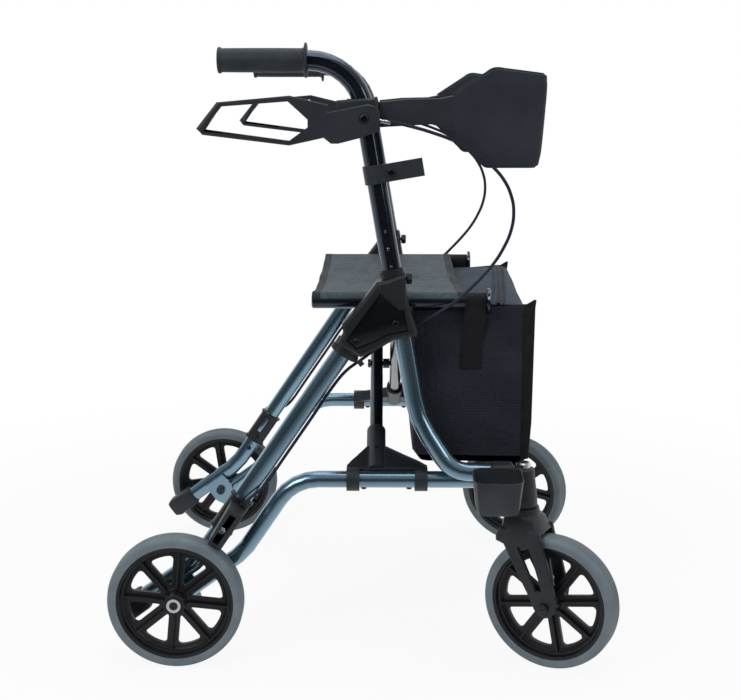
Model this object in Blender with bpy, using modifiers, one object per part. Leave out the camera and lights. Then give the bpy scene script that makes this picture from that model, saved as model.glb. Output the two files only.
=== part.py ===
"""Folding walker with four wheels, a sling seat, a bag and a back belt.

Metres, +Z up, +X forward (the way the casters lead), +Y to the walker's left.
Every piece is built for the right side, where Y is negative, and mirrored for
the left side, apart from the casters, which are both turned the same way.
"""

from math import atan2, cos, pi, radians, sin, tan

import bmesh
import bpy
from mathutils import Matrix, Vector

# Where the walker's middle plane stands, so that the origin is under its middle
WALKER_AT = Vector((0.0310, 0.0154, 0.0))

# Clearances
FIT = 0.0003
RUN = 0.0010

# Wheels
WHEEL_RADIUS = 0.100
TYRE_WIDTH = 0.036
TYRE_DEPTH = 0.014
RIM_RADIUS = WHEEL_RADIUS - TYRE_DEPTH
RIM_WIDTH = 0.031
WEB_HALF = 0.003
HUB_RADIUS = 0.017
AXLE_RADIUS = 0.006
SPOKES = 8
SPOKE_HALF = 0.010
RIB_HALF = 0.0085
WINDOW_RADIUS = RIM_RADIUS - 0.019
WINDOW_CORNER = 0.004
TREAD_GROOVE = 0.0015

# Side frames
FRAME_Y = 0.247
RAIL_RADIUS = 0.0125
FRONT_LEG_RADIUS = 0.0135
REAR_LEG_HALF_X = 0.014
REAR_LEG_HALF_Y = 0.0105
REAR_AXLE_X = -0.303
REAR_WHEEL_Y = 0.29375

# Casters
STEM_X = 0.206
STEM_Y = 0.271
CASTER_YAW = radians(-27)
CASTER_TRAIL = 0.048
CROWN_GAP = 0.006
CROWN_HEIGHT = 0.033
FORK_INSIDE = 0.0240
FORK_ARM = 0.008
STEM_RADIUS = 0.006
FRONT_AXLE_RADIUS = 0.004

# Heights that follow from the wheels and the casters
AXLE_Z = WHEEL_RADIUS
CROWN_BOTTOM_Z = 2 * WHEEL_RADIUS + CROWN_GAP
CROWN_TOP_Z = CROWN_BOTTOM_Z + CROWN_HEIGHT
HOUSING_BOTTOM_Z = CROWN_TOP_Z + RUN
HOUSING_HEIGHT = 0.057
RAIL_Z = HOUSING_BOTTOM_Z + 0.031

# Handle posts: a grooved tube that slides over a guide on the front leg
POST_Y = 0.249
POST_TILT = radians(9.76)
COLLAR_X = 0.013
COLLAR_UP = 0.314
POST_HALF_X = 0.0140
POST_HALF_Y = 0.0123
POST_GROOVE_HALF = 0.0055
POST_GROOVE_DEPTH = 0.0016
POST_BORE = 0.0093
POST_FOOT_UP = 0.280
POST_BORE_LENGTH = 0.150
GUIDE_UP = 0.335
LEG_SHOULDER_UP = 0.221
GRIP_UP = 0.6044
GRIP_RADIUS = 0.0166
GRIP_FRONT_X = -0.1046
GRIP_REAR_X = -0.2287
POST_BEND = 0.078

# Hubs
HUB_INSIDE_Y = 0.2352
HUB_OUTSIDE_Y = 0.2700
HUB_PANEL_DEPTH = 0.0042
HUB_SHIELD_HEIGHT = 0.0030
COLLAR_WALL = 0.0028
COLLAR_SIDE_WALL = 0.0024

# Cross brace: its length and angle follow from where the seat rails stand
SEAT_INSET = 0.0261
SEAT_UP = 0.2630
SEAT_OFFSET = 0.028
SEAT_REACH = 2 * FRAME_Y - SEAT_INSET
BRACE_LENGTH = (SEAT_REACH ** 2 + SEAT_UP ** 2 - SEAT_OFFSET ** 2) ** 0.5
BRACE_ANGLE = atan2(SEAT_UP, SEAT_REACH) - atan2(SEAT_OFFSET, BRACE_LENGTH)
BRACE_CROSS = FRAME_Y / cos(BRACE_ANGLE)
BRACE_RADIUS = 0.010
BRACE_A_X = -0.009
BRACE_B_X = 0.022
TUBE_SHORT = 0.042
FOOT_RADIUS = 0.0143
FOOT_LENGTH = 0.108
FOOT_START = 0.040
CLIP_RADIUS = 0.0175
CLIP_WIDTH = 0.019
CLIP_REAR_X = -0.043
CLIP_FRONT_X = 0.0575
CROSS_BOLT_RADIUS = 0.004

# Seat
SEAT_RAIL_RADIUS = 0.011
SEAT_RAIL_REAR_X = -0.103
SEAT_RAIL_FRONT_X = 0.157
SEAT_CAP_RADIUS = 0.019
SLING_REAR_X = -0.101
SLING_FRONT_X = 0.120
SLING_THICK = 0.0014
SLING_SAG = 0.012

# Bag
BAG_HALF_WIDTH = 0.213
BAG_REAR_X = 0.042
BAG_FRONT_X = 0.228
BAG_DROP = 0.235
STRAP_REAR_X = 0.1205
STRAP_FRONT_X = 0.1515
STRAP_THICK = 0.0016
STRAP_DROP = 0.100

# Rear corner
LEG_TOP = (-0.0223, 0.244)
LEG_END = (-0.2330, WHEEL_RADIUS + 0.005)
KNEE = (-0.273, 0.047)
TAIL = (-0.366, -0.021)
SLEEVE_WALL = 0.003
SLEEVE_UP = 0.046
SLEEVE_DOWN = 0.014
PLATE_THICK = 0.0045
BOSS_RADIUS = 0.011

# Brake shoes: each slides down on to its tyre, guided by a stud in its slot
SHOE_GAP = 0.0035
SHOE_INSIDE_Y = FRAME_Y + REAR_LEG_HALF_Y + SLEEVE_WALL + FIT
SHOE_OUTSIDE_Y = 0.3030
SHOE_TOP = 0.0385
SHOE_STUD_DOWN = 0.0026
SHOE_STUD_RADIUS = 0.0047
SHOE_STUD_LENGTH = 0.0155
SHOE_SLOT = (-0.0320, 0.0180)

# Levers
PIVOT = (-0.026, 0.525)
BRACKET_INSIDE_Y = 0.2330
BRACKET_OUTSIDE_Y = 0.2630
LEVER_PLATE = 0.006

# Belt
BELT_THICK = 0.016
BELT_START_X = 0.1005
BELT_CORNER_X = 0.2180
BELT_CORNER_Y = 0.2425
BELT_MIDDLE_X = 0.244
BELT_BOW = 1.35
BELT_PEAK_UP = 0.594
BELT_TOP_UP = 0.5855
BELT_BOTTOM_UP = 0.4570
BELT_RAMP = 0.058
BELT_LOW_RAMP = 0.048
BELT_LEAN = 0.0045
ARM_END_UP = (0.504, 0.557)

COLLECTION = "walker"
TUBE_SIDES = 16


def new_collection(name):
    """A collection in the scene, made once."""
    made = bpy.data.collections.new(name)
    bpy.context.scene.collection.children.link(made)
    return made


for old in list(bpy.data.objects):
    bpy.data.objects.remove(old)

PARTS = new_collection(COLLECTION)
CUTTERS = new_collection("cutters")

walker = bpy.data.objects.new("walker_frame", None)
walker.location = WALKER_AT
PARTS.objects.link(walker)


def material(name, colour, roughness, metallic=0.0):
    """A Principled material with the piece's colour."""
    made = bpy.data.materials.new(name)
    made.use_nodes = True
    shader = made.node_tree.nodes["Principled BSDF"]
    shader.inputs["Base Color"].default_value = (*colour, 1.0)
    shader.inputs["Roughness"].default_value = roughness
    shader.inputs["Metallic"].default_value = metallic
    return made


BLUE = (0.15, 0.24, 0.32)
GLOSS_BLACK = (0.012, 0.012, 0.014)
BLACK = (0.022, 0.024, 0.028)
STEEL = (0.62, 0.63, 0.64)
TYRE = (0.13, 0.15, 0.16)
VINYL = (0.07, 0.08, 0.09)
NAVY = (0.012, 0.013, 0.020)


# Meshes

def link(mesh, name="piece"):
    """An object for a mesh, among the parts."""
    made = bpy.data.objects.new(name, mesh)
    PARTS.objects.link(made)
    return made


def evaluated(obj):
    """The mesh that an object's modifiers or bevel make, with its doubles merged."""
    bpy.context.view_layer.update()
    graph = bpy.context.evaluated_depsgraph_get()
    mesh = bpy.data.meshes.new_from_object(obj.evaluated_get(graph))
    mesh.transform(obj.matrix_world)
    bm = bmesh.new()
    bm.from_mesh(mesh)
    bmesh.ops.remove_doubles(bm, verts=bm.verts, dist=1e-6)
    bmesh.ops.recalc_face_normals(bm, faces=bm.faces)
    bm.to_mesh(mesh)
    bm.free()
    return mesh


def solid(obj):
    """The object as a plain mesh object, in place of the one with modifiers."""
    mesh = evaluated(obj)
    bpy.data.objects.remove(obj)
    return link(mesh)


def boolean(target, tool, operation):
    """Cut the tool out of the target, or join it on."""
    PARTS.objects.unlink(tool)
    CUTTERS.objects.link(tool)
    tool.hide_render = True
    tool.display_type = "WIRE"
    step = target.modifiers.new("boolean", "BOOLEAN")
    step.operation = operation
    step.solver = "EXACT"
    step.object = tool
    done = solid(target)
    bpy.data.objects.remove(tool)
    return done


def cut(target, *tools):
    """Take each tool's shape away from the target."""
    for tool in tools:
        target = boolean(target, tool, "DIFFERENCE")
    return target


def join(target, *tools):
    """Add each tool's shape to the target as one body."""
    for tool in tools:
        target = boolean(target, tool, "UNION")
    return target


def finish(obj, name, look, origin=(0, 0, 0), parent=None, smooth=30):
    """Name a piece, shade it, give it its material and set its origin on its joint."""
    colour, roughness, metallic = look
    origin = Vector(origin)
    obj.data.transform(Matrix.Translation(-origin))
    obj.location = origin
    obj.name = name
    obj.data.name = name
    obj.data.materials.clear()
    obj.data.materials.append(material(name, colour, roughness, metallic))
    obj.data.shade_smooth()
    obj.data.set_sharp_from_angle(angle=radians(smooth))
    obj.parent = parent or walker
    return obj


def mirrored(obj, name):
    """The left side's copy of a right side's piece."""
    mesh = obj.data.copy()
    mesh.transform(Matrix.Scale(-1, 4, (0, 1, 0)))
    mesh.flip_normals()
    copy = link(mesh)
    copy.location = (obj.location.x, -obj.location.y, obj.location.z)
    copy.name = name
    copy.parent = obj.parent
    return copy


def both(obj, name, look, origin=(0, 0, 0), smooth=30):
    """Finish the right side's piece and mirror it for the left side."""
    right = finish(obj, name + "_right", look, origin, smooth=smooth)
    return right, mirrored(right, name + "_left")


def box(low, high, soft=0.0, segments=1):
    """A block between two corners, its edges rounded by soft."""
    low, high = Vector(low), Vector(high)
    bm = bmesh.new()
    bmesh.ops.create_cube(bm, size=1.0)
    place = Matrix.Translation((low + high) / 2) @ Matrix.Diagonal((*(high - low), 1))
    bmesh.ops.transform(bm, matrix=place, verts=bm.verts)
    if soft:
        bmesh.ops.bevel(bm, geom=bm.edges[:], offset=soft, segments=segments,
                        profile=0.5, affect="EDGES", clamp_overlap=True)
    mesh = bpy.data.meshes.new("block")
    bm.to_mesh(mesh)
    bm.free()
    return link(mesh)


def rod(start, end, radius, radius_end=None, sides=TUBE_SIDES):
    """A round bar, or a cone, between two points."""
    start, end = Vector(start), Vector(end)
    along = end - start
    bm = bmesh.new()
    bmesh.ops.create_cone(bm, cap_ends=True, segments=sides, radius1=radius,
                          radius2=radius if radius_end is None else radius_end,
                          depth=along.length)
    turn = Vector((0, 0, 1)).rotation_difference(along).to_matrix().to_4x4()
    bmesh.ops.transform(bm, matrix=Matrix.Translation((start + end) / 2) @ turn,
                        verts=bm.verts)
    mesh = bpy.data.meshes.new("rod")
    bm.to_mesh(mesh)
    bm.free()
    return link(mesh)


def cross_bore(place, radius, sides=12):
    """A bore along Y through a place, longer than the pieces it goes through are wide."""
    reach = Vector((0, 0.05, 0))
    return rod(place - reach, place + reach, radius, sides=sides)


def turned(profile, centre, axis, steps=28):
    """A profile of (along the axis, radius) points turned about an axis."""
    bm = bmesh.new()
    verts = [bm.verts.new((radius, 0, along)) for along, radius in profile]
    for first, second in zip(verts, verts[1:]):
        bm.edges.new((first, second))
    if profile[0][1] > 0:
        bm.edges.new((verts[-1], verts[0]))
    mesh = bpy.data.meshes.new("profile")
    bm.to_mesh(mesh)
    bm.free()
    obj = link(mesh)
    screw = obj.modifiers.new("screw", "SCREW")
    screw.steps = steps
    screw.render_steps = steps
    screw.use_merge_vertices = True
    screw.merge_threshold = 0.00001
    turn = Vector((0, 0, 1)).rotation_difference(Vector(axis)).to_matrix().to_4x4()
    obj.matrix_world = Matrix.Translation(centre) @ turn
    return solid(obj)


def plate(outline, y_low, y_high, soft=0.0):
    """An outline of (x, z) points as a flat curve, thickened between two Y planes."""
    curve = bpy.data.curves.new("outline", "CURVE")
    curve.dimensions = "2D"
    curve.fill_mode = "BOTH"
    curve.extrude = (y_high - y_low) / 2
    spline = curve.splines.new("POLY")
    spline.points.add(len(outline) - 1)
    spline.use_cyclic_u = True
    for point, (x, z) in zip(spline.points, outline):
        point.co = (x, z, 0, 1)
    flat = link(curve, "outline")
    upright = Matrix.Rotation(radians(90), 4, "X")
    flat.matrix_world = Matrix.Translation((0, (y_low + y_high) / 2, 0)) @ upright
    made = solid(flat)
    bm = bmesh.new()
    bm.from_mesh(made.data)
    bmesh.ops.dissolve_limit(bm, angle_limit=radians(0.5), verts=bm.verts, edges=bm.edges)
    if soft:
        edges = [e for e in bm.edges
                 if sorted(abs(f.normal.y) > 0.9 for f in e.link_faces) == [False, True]]
        bmesh.ops.bevel(bm, geom=edges, offset=soft, segments=1, profile=0.5,
                        affect="EDGES", clamp_overlap=True)
    bm.to_mesh(made.data)
    bm.free()
    return made


def loft(rings):
    """A closed skin over rings of points, capped at both ends."""
    bm = bmesh.new()
    rows = [[bm.verts.new(point) for point in ring] for ring in rings]
    count = len(rows[0])
    for low, high in zip(rows, rows[1:]):
        for i in range(count):
            j = (i + 1) % count
            bm.faces.new((low[i], low[j], high[j], high[i]))
    bm.faces.new(rows[0][::-1])
    bm.faces.new(rows[-1])
    bmesh.ops.recalc_face_normals(bm, faces=bm.faces)
    mesh = bpy.data.meshes.new("loft")
    bm.to_mesh(mesh)
    bm.free()
    return link(mesh)


def fillet(points, radii, step=radians(15)):
    """The points with each inner corner rounded to its radius."""
    points = [Vector(p) for p in points]
    path = [points[0]]
    for before, corner, after, radius in zip(points, points[1:], points[2:], radii):
        back = (before - corner).normalized()
        ahead = (after - corner).normalized()
        turn = pi - back.angle(ahead)
        if radius <= 0 or turn < 1e-4:
            path.append(corner)
            continue
        reach = radius * tan(turn / 2)
        centre = corner + (back + ahead).normalized() * (radius / cos(turn / 2))
        start = corner + back * reach
        count = max(1, round(turn / step))
        across = (start - centre).normalized()
        normal = across.cross(corner + ahead * reach - centre).normalized()
        for i in range(count + 1):
            spin = Matrix.Rotation(turn * i / count, 3, normal)
            path.append(centre + spin @ across * radius)
    path.append(points[-1])
    return path


def swept(path, radius=None, outline=None, sides=TUBE_SIDES):
    """A tube along a path, round or with an outline of (sideways, up) points."""
    curve = bpy.data.curves.new("path", "CURVE")
    curve.dimensions = "3D"
    curve.twist_mode = "Z_UP"
    curve.use_fill_caps = True
    spline = curve.splines.new("POLY")
    spline.points.add(len(path) - 1)
    for point, place in zip(spline.points, path):
        point.co = (*place, 1)
    section = None
    if outline:
        shape = bpy.data.curves.new("section", "CURVE")
        shape.dimensions = "2D"
        ring = shape.splines.new("POLY")
        ring.points.add(len(outline) - 1)
        ring.use_cyclic_u = True
        for point, (across, up) in zip(ring.points, outline):
            point.co = (across, up, 0, 1)
        section = link(shape, "section")
        curve.bevel_mode = "OBJECT"
        curve.bevel_object = section
    else:
        curve.bevel_depth = radius
        curve.bevel_resolution = (sides - 4) // 2
    done = solid(link(curve, "path"))
    if section:
        bpy.data.objects.remove(section)
    return done


def oval(half_across, half_up, count=16, square=1.0):
    """An oval outline, its corners fuller as square falls below one."""
    points = []
    for i in range(count):
        angle = 2 * pi * i / count
        c, s = cos(angle), sin(angle)
        points.append((half_across * abs(c) ** square * (1 if c >= 0 else -1),
                       half_up * abs(s) ** square * (1 if s >= 0 else -1)))
    return points


def rounded(width, height, radius, arc=3):
    """A rectangle's outline about its middle, with round corners."""
    points = []
    for quarter, (sx, sy) in enumerate(((1, 1), (-1, 1), (-1, -1), (1, -1))):
        cx = sx * (width / 2 - radius)
        cy = sy * (height / 2 - radius)
        for i in range(arc):
            angle = pi / 2 * (quarter + i / (arc - 1))
            points.append((cx + radius * cos(angle), cy + radius * sin(angle)))
    return points


# Places on the walker

def frame(x, up, y=FRAME_Y):
    """A point of the right frame, its height counted from the lower rail."""
    return Vector((x, -y, RAIL_Z + up))


def near_axle(x, up, y=FRAME_Y):
    """A point by the rear axle, its height counted from the axle."""
    return Vector((x, -y, AXLE_Z + up))


def post(up, y=POST_Y):
    """The point of the right post's axis at a height above the lower rail."""
    return frame(COLLAR_X + (COLLAR_UP - up) * tan(POST_TILT), up, y)


def post_outline(extra=0.0, extra_y=None):
    """The grooved section of the handle post, grown by extra for its bores."""
    half_x = POST_HALF_X + extra
    half_y = POST_HALF_Y + (extra if extra_y is None else extra_y)
    points = []
    for side in (1, -1):
        edge = max(POST_GROOVE_HALF - extra, 0.002)
        floor = half_y - POST_GROOVE_DEPTH
        for angle in (-58, -32, 0, 32, 58):
            c, s = cos(radians(angle)), sin(radians(angle))
            points.append((side * half_y * s * 0.98, side * half_x * c ** 0.75))
        if edge < POST_GROOVE_HALF / 2:
            points.append((side * half_y, side * edge))
            points.append((side * half_y, -side * edge))
            continue
        points.append((side * half_y, side * edge))
        points.append((side * floor, side * (edge - 0.0006)))
        points.append((side * floor, -side * (edge - 0.0006)))
        points.append((side * half_y, -side * edge))
    return points


def leg_axis(up):
    """The rear leg's axis at a height above the lower rail."""
    top = frame(*LEG_TOP)
    low = near_axle(*LEG_END)
    share = (RAIL_Z + up - top.z) / (low.z - top.z)
    return top.lerp(low, share)


def leg_end(down, ahead, y):
    """A point by the rear leg's end: so far down its line, so far ahead of it, at a Y."""
    low = near_axle(*LEG_END)
    along = (low - frame(*LEG_TOP)).normalized()
    place = low + along * down + along.cross(Vector((0, 1, 0))) * ahead
    return Vector((place.x, -y, place.z))


def brace_direction():
    """The way brace A climbs from the right rail to the left seat rail."""
    return Vector((0, cos(BRACE_ANGLE), sin(BRACE_ANGLE)))


PLASTIC = (BLACK, 0.45, 0.0)
PAINT = (BLUE, 0.28, 0.7)
GLOSS = (GLOSS_BLACK, 0.15, 0.3)
METAL = (STEEL, 0.22, 1.0)
RUBBER = (TYRE, 0.7, 0.0)
SOFT = (VINYL, 0.75, 0.0)
CLOTH = (NAVY, 0.85, 0.0)


# Wheels

def tyre_mesh(centre, axis):
    """A solid tyre with three shallow grooves round its tread."""
    half = TYRE_WIDTH / 2
    top = WHEEL_RADIUS
    shoulder = top - 0.006
    groove = top - TREAD_GROOVE
    bore = RIM_RADIUS + FIT
    profile = [(-half + 0.001, bore), (-half, shoulder - 0.004), (-half + 0.005, shoulder + 0.003),
               (-0.008, top), (-0.006, groove), (-0.004, top), (0.004, top),
               (0.006, groove), (0.008, top), (half - 0.005, shoulder + 0.003),
               (half, shoulder - 0.004), (half - 0.001, bore)]
    return turned(profile, centre, axis)


def window_outline(middle):
    """A rounded three-cornered window between two spokes, about an angle."""
    gap = pi / SPOKES
    inner = SPOKE_HALF / sin(gap)
    outer = WINDOW_RADIUS * cos(gap)
    reach = (outer - inner) * tan(gap)
    corners = [(inner, 0), (outer, reach), (outer, -reach)]
    flat = [(Vector((x, y, 0))) for x, y in corners]
    closed = [(flat[2] + flat[0]) / 2] + flat + [(flat[2] + flat[0]) / 2]
    path = fillet(closed, (WINDOW_CORNER,) * 3, radians(100))[:-1]
    spin = Matrix.Rotation(middle, 3, "Z")
    return [tuple((spin @ p)[:2]) for p in path]


def rim_mesh(centre, axis, hub_half, axle):
    """A moulded wheel: rim, web with windows, a rib along each spoke, and a hub."""
    half = RIM_WIDTH / 2
    lip = RIM_RADIUS - 0.009
    floor = RIM_RADIUS - 0.0115
    bore = axle + FIT
    profile = [(-half, RIM_RADIUS), (-half, lip), (-WEB_HALF, floor),
               (-WEB_HALF, HUB_RADIUS + 0.004), (-hub_half, HUB_RADIUS), (-hub_half, bore),
               (hub_half, bore), (hub_half, HUB_RADIUS), (WEB_HALF, HUB_RADIUS + 0.004),
               (WEB_HALF, floor), (half, lip), (half, RIM_RADIUS)]
    body = turned(profile, (0, 0, 0), (0, 0, 1))
    for i in range(SPOKES):
        outline = window_outline(2 * pi / SPOKES * (i + 0.5))
        rings = [[(x, y, z) for x, y in outline] for z in (-0.02, 0.02)]
        body = cut(body, loft(rings))
    rib_reach = RIM_RADIUS - 0.005
    for i in range(SPOKES):
        rib = box((HUB_RADIUS - 0.004, -0.0014, -RIB_HALF), (rib_reach, 0.0014, RIB_HALF))
        rib.data.transform(Matrix.Rotation(2 * pi / SPOKES * i, 4, "Z"))
        body = join(body, rib)
    turn = Vector((0, 0, 1)).rotation_difference(Vector(axis)).to_matrix().to_4x4()
    body.data.transform(Matrix.Translation(centre) @ turn)
    return body


def rear_wheel():
    """The fixed wheels at the back, each on a bolt through its axle carrier."""
    centre = Vector((REAR_AXLE_X, -REAR_WHEEL_Y, AXLE_Z))
    hub_half = REAR_WHEEL_Y - FRAME_Y - 0.0248
    both(tyre_mesh(centre, (0, 1, 0)), "rear_tyre", RUBBER, centre)
    both(rim_mesh(centre, (0, 1, 0), hub_half, AXLE_RADIUS), "rear_rim", PLASTIC, centre)
    face = hub_half + FIT
    inner = REAR_WHEEL_Y - PLATE_INSIDE_Y
    profile = [(-face - 0.0005, 0.0), (-face - 0.0005, 0.004), (-face - 0.003, 0.0045),
               (-face - 0.003, 0.0105), (-face, 0.011), (-face, AXLE_RADIUS),
               (inner + FIT, AXLE_RADIUS), (inner + FIT, 0.0074), (inner + 0.006, 0.0074),
               (inner + 0.006, 0.0)]
    both(turned(profile, centre, (0, 1, 0), 16), "rear_axle", METAL, centre)


# Side frames

PLATE_OUTSIDE_Y = FRAME_Y - RAIL_RADIUS - FIT
PLATE_INSIDE_Y = PLATE_OUTSIDE_Y - PLATE_THICK


def lower_rail():
    """The rail from the caster housing back and down to the rear axle."""
    end = near_axle(REAR_AXLE_X + 0.0150, -0.0012)
    knee = near_axle(-0.207, 0.058)
    path = fillet([frame(0.190, 0), frame(-0.1316, 0), knee, end], (0.070, 0.060))
    both(swept(path, RAIL_RADIUS), "lower_rail", PAINT)


def front_leg():
    """The leg from the hub down to the caster housing, with the post's guide on top."""
    knee = post(0.094, FRAME_Y + 0.002)
    shin = frame(0.101, 0.019, STEM_Y - 0.003)
    foot = frame(0.189, 0.0165, STEM_Y)
    path = fillet([post(LEG_SHOULDER_UP), knee, shin, foot], (0.130, 0.045))
    leg = swept(path, FRONT_LEG_RADIUS)
    guide = swept([post(LEG_SHOULDER_UP - 0.03), post(GUIDE_UP)], POST_BORE - FIT, sides=12)
    return both(join(leg, guide), "front_leg", PAINT)


def rear_leg():
    """The oval leg from the hub down to the sleeve."""
    outline = oval(REAR_LEG_HALF_Y, REAR_LEG_HALF_X)
    path = [frame(*LEG_TOP), near_axle(*LEG_END)]
    both(swept(path, outline=outline), "rear_leg", PAINT)


def axle_carrier():
    """The formed tube below the rear leg with the axle boss and plate welded on."""
    top = near_axle(*LEG_END)
    along = (top - frame(*LEG_TOP)).normalized()
    knee = near_axle(*KNEE)
    path = fillet([top + along * FIT, knee, near_axle(*TAIL)], (0.070,))
    tube = swept(path, outline=oval(REAR_LEG_HALF_Y, REAR_LEG_HALF_X))
    axle = near_axle(REAR_AXLE_X, 0)
    boss = rod((axle.x, -PLATE_INSIDE_Y - 0.001, AXLE_Z),
               (axle.x, -(FRAME_Y + 0.0245), AXLE_Z), BOSS_RADIUS)
    lean = atan2(KNEE[1] - TAIL[1], KNEE[0] - TAIL[0])
    corners = [(-0.019, 0.022), (0.020, 0.022), (0.022, -0.004), (0.010, -0.036),
               (-0.006, -0.036), (-0.019, -0.012)]
    outline = [(axle.x + x * cos(lean) - z * sin(lean), AXLE_Z + x * sin(lean) + z * cos(lean))
               for x, z in corners]
    bracket = plate(outline, -PLATE_OUTSIDE_Y, -PLATE_INSIDE_Y)
    body = join(tube, boss, bracket)
    hole = cross_bore(axle, AXLE_RADIUS + FIT, 16)
    both(cut(body, hole), "axle_carrier", PAINT)


def kerb_pedal():
    """The cap on the carrier's tail, stepped on to tip the walker up a kerb."""
    knee, tail = near_axle(*KNEE), near_axle(*TAIL)
    along = (tail - knee).normalized()
    up = along.cross(Vector((0, 1, 0))).normalized()
    if up.z < 0:
        up = -up
    start = tail - along * 0.012
    rings = []
    for reach, grow in ((0, -0.001), (0.004, 0), (0.040, 0.0005), (0.050, -0.003)):
        ring = [start + along * reach + Vector((0, 1, 0)) * a + up * b
                for a, b in rounded(0.029 + 2 * grow, 0.034 + 2 * grow, 0.007)]
        rings.append(ring)
    cap = loft(rings)
    bore = swept([knee, tail + along * FIT],
                 outline=oval(REAR_LEG_HALF_Y + FIT, REAR_LEG_HALF_X + FIT))
    both(cut(cap, bore), "kerb_pedal", PLASTIC)


def rear_sleeve():
    """The plastic sleeve over the end of the rear leg, with the shoe's stud and cable stop."""
    inner = oval(REAR_LEG_HALF_Y + FIT, REAR_LEG_HALF_X + FIT)
    outer = oval(REAR_LEG_HALF_Y + SLEEVE_WALL, REAR_LEG_HALF_X + SLEEVE_WALL, square=0.7)
    body = swept([leg_end(-SLEEVE_UP, 0, FRAME_Y), leg_end(SLEEVE_DOWN, 0, FRAME_Y)],
                 outline=outer)
    bore = swept([leg_end(-SLEEVE_UP - 0.01, 0, FRAME_Y), leg_end(SLEEVE_DOWN + 0.01, 0, FRAME_Y)],
                 outline=inner)
    stud = rod(leg_end(SHOE_STUD_DOWN, 0, FRAME_Y + REAR_LEG_HALF_Y + 0.001),
               leg_end(SHOE_STUD_DOWN, 0, SHOE_INSIDE_Y + SHOE_STUD_LENGTH), SHOE_STUD_RADIUS)
    stop = leg_plate([(-0.0455, 0.0015), (-0.0455, 0.0105), (-0.0400, 0.0105), (-0.0400, 0.0015)],
                     SHOE_INSIDE_Y - 0.002, SHOE_INSIDE_Y + 0.0095)
    both(join(cut(body, bore), stud, stop), "rear_sleeve", PLASTIC)


def leg_plate(outline, y_in, y_out, soft=0.0):
    """A plate whose outline is given down the rear leg and ahead of it."""
    places = [leg_end(down, ahead, y_in) for down, ahead in outline]
    return plate([(p.x, p.z) for p in places], -y_out, -y_in, soft)


def brake_shoe():
    """The slotted block on the sleeve's outer side that slides down on to the tyre."""
    low = near_axle(*LEG_END)
    along = (low - frame(*LEG_TOP)).normalized()
    to_wheel = near_axle(REAR_AXLE_X, 0) - low
    wheel_down = to_wheel.dot(along)
    wheel_ahead = to_wheel.dot(along.cross(Vector((0, 1, 0))))
    reach = WHEEL_RADIUS + SHOE_GAP
    outline = [(-SHOE_TOP, 0.0125), (-SHOE_TOP, -0.0125)]
    for ahead in (-0.0085, -0.0035, 0.0025, 0.0080, 0.0130):
        down = wheel_down - (reach ** 2 - (ahead - wheel_ahead) ** 2) ** 0.5
        outline.append((down, ahead))
    body = leg_plate(outline, SHOE_INSIDE_Y, SHOE_OUTSIDE_Y, 0.0018)
    half = SHOE_STUD_RADIUS + FIT
    slot = leg_plate([(SHOE_SLOT[0], -half), (SHOE_SLOT[1], -half), (SHOE_SLOT[1], half),
                      (SHOE_SLOT[0], half)], SHOE_INSIDE_Y - 0.01, SHOE_OUTSIDE_Y + 0.01)
    both(cut(body, slot), "brake_shoe", PLASTIC, leg_end(SHOE_STUD_DOWN, 0, SHOE_INSIDE_Y))


# Hubs

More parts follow.
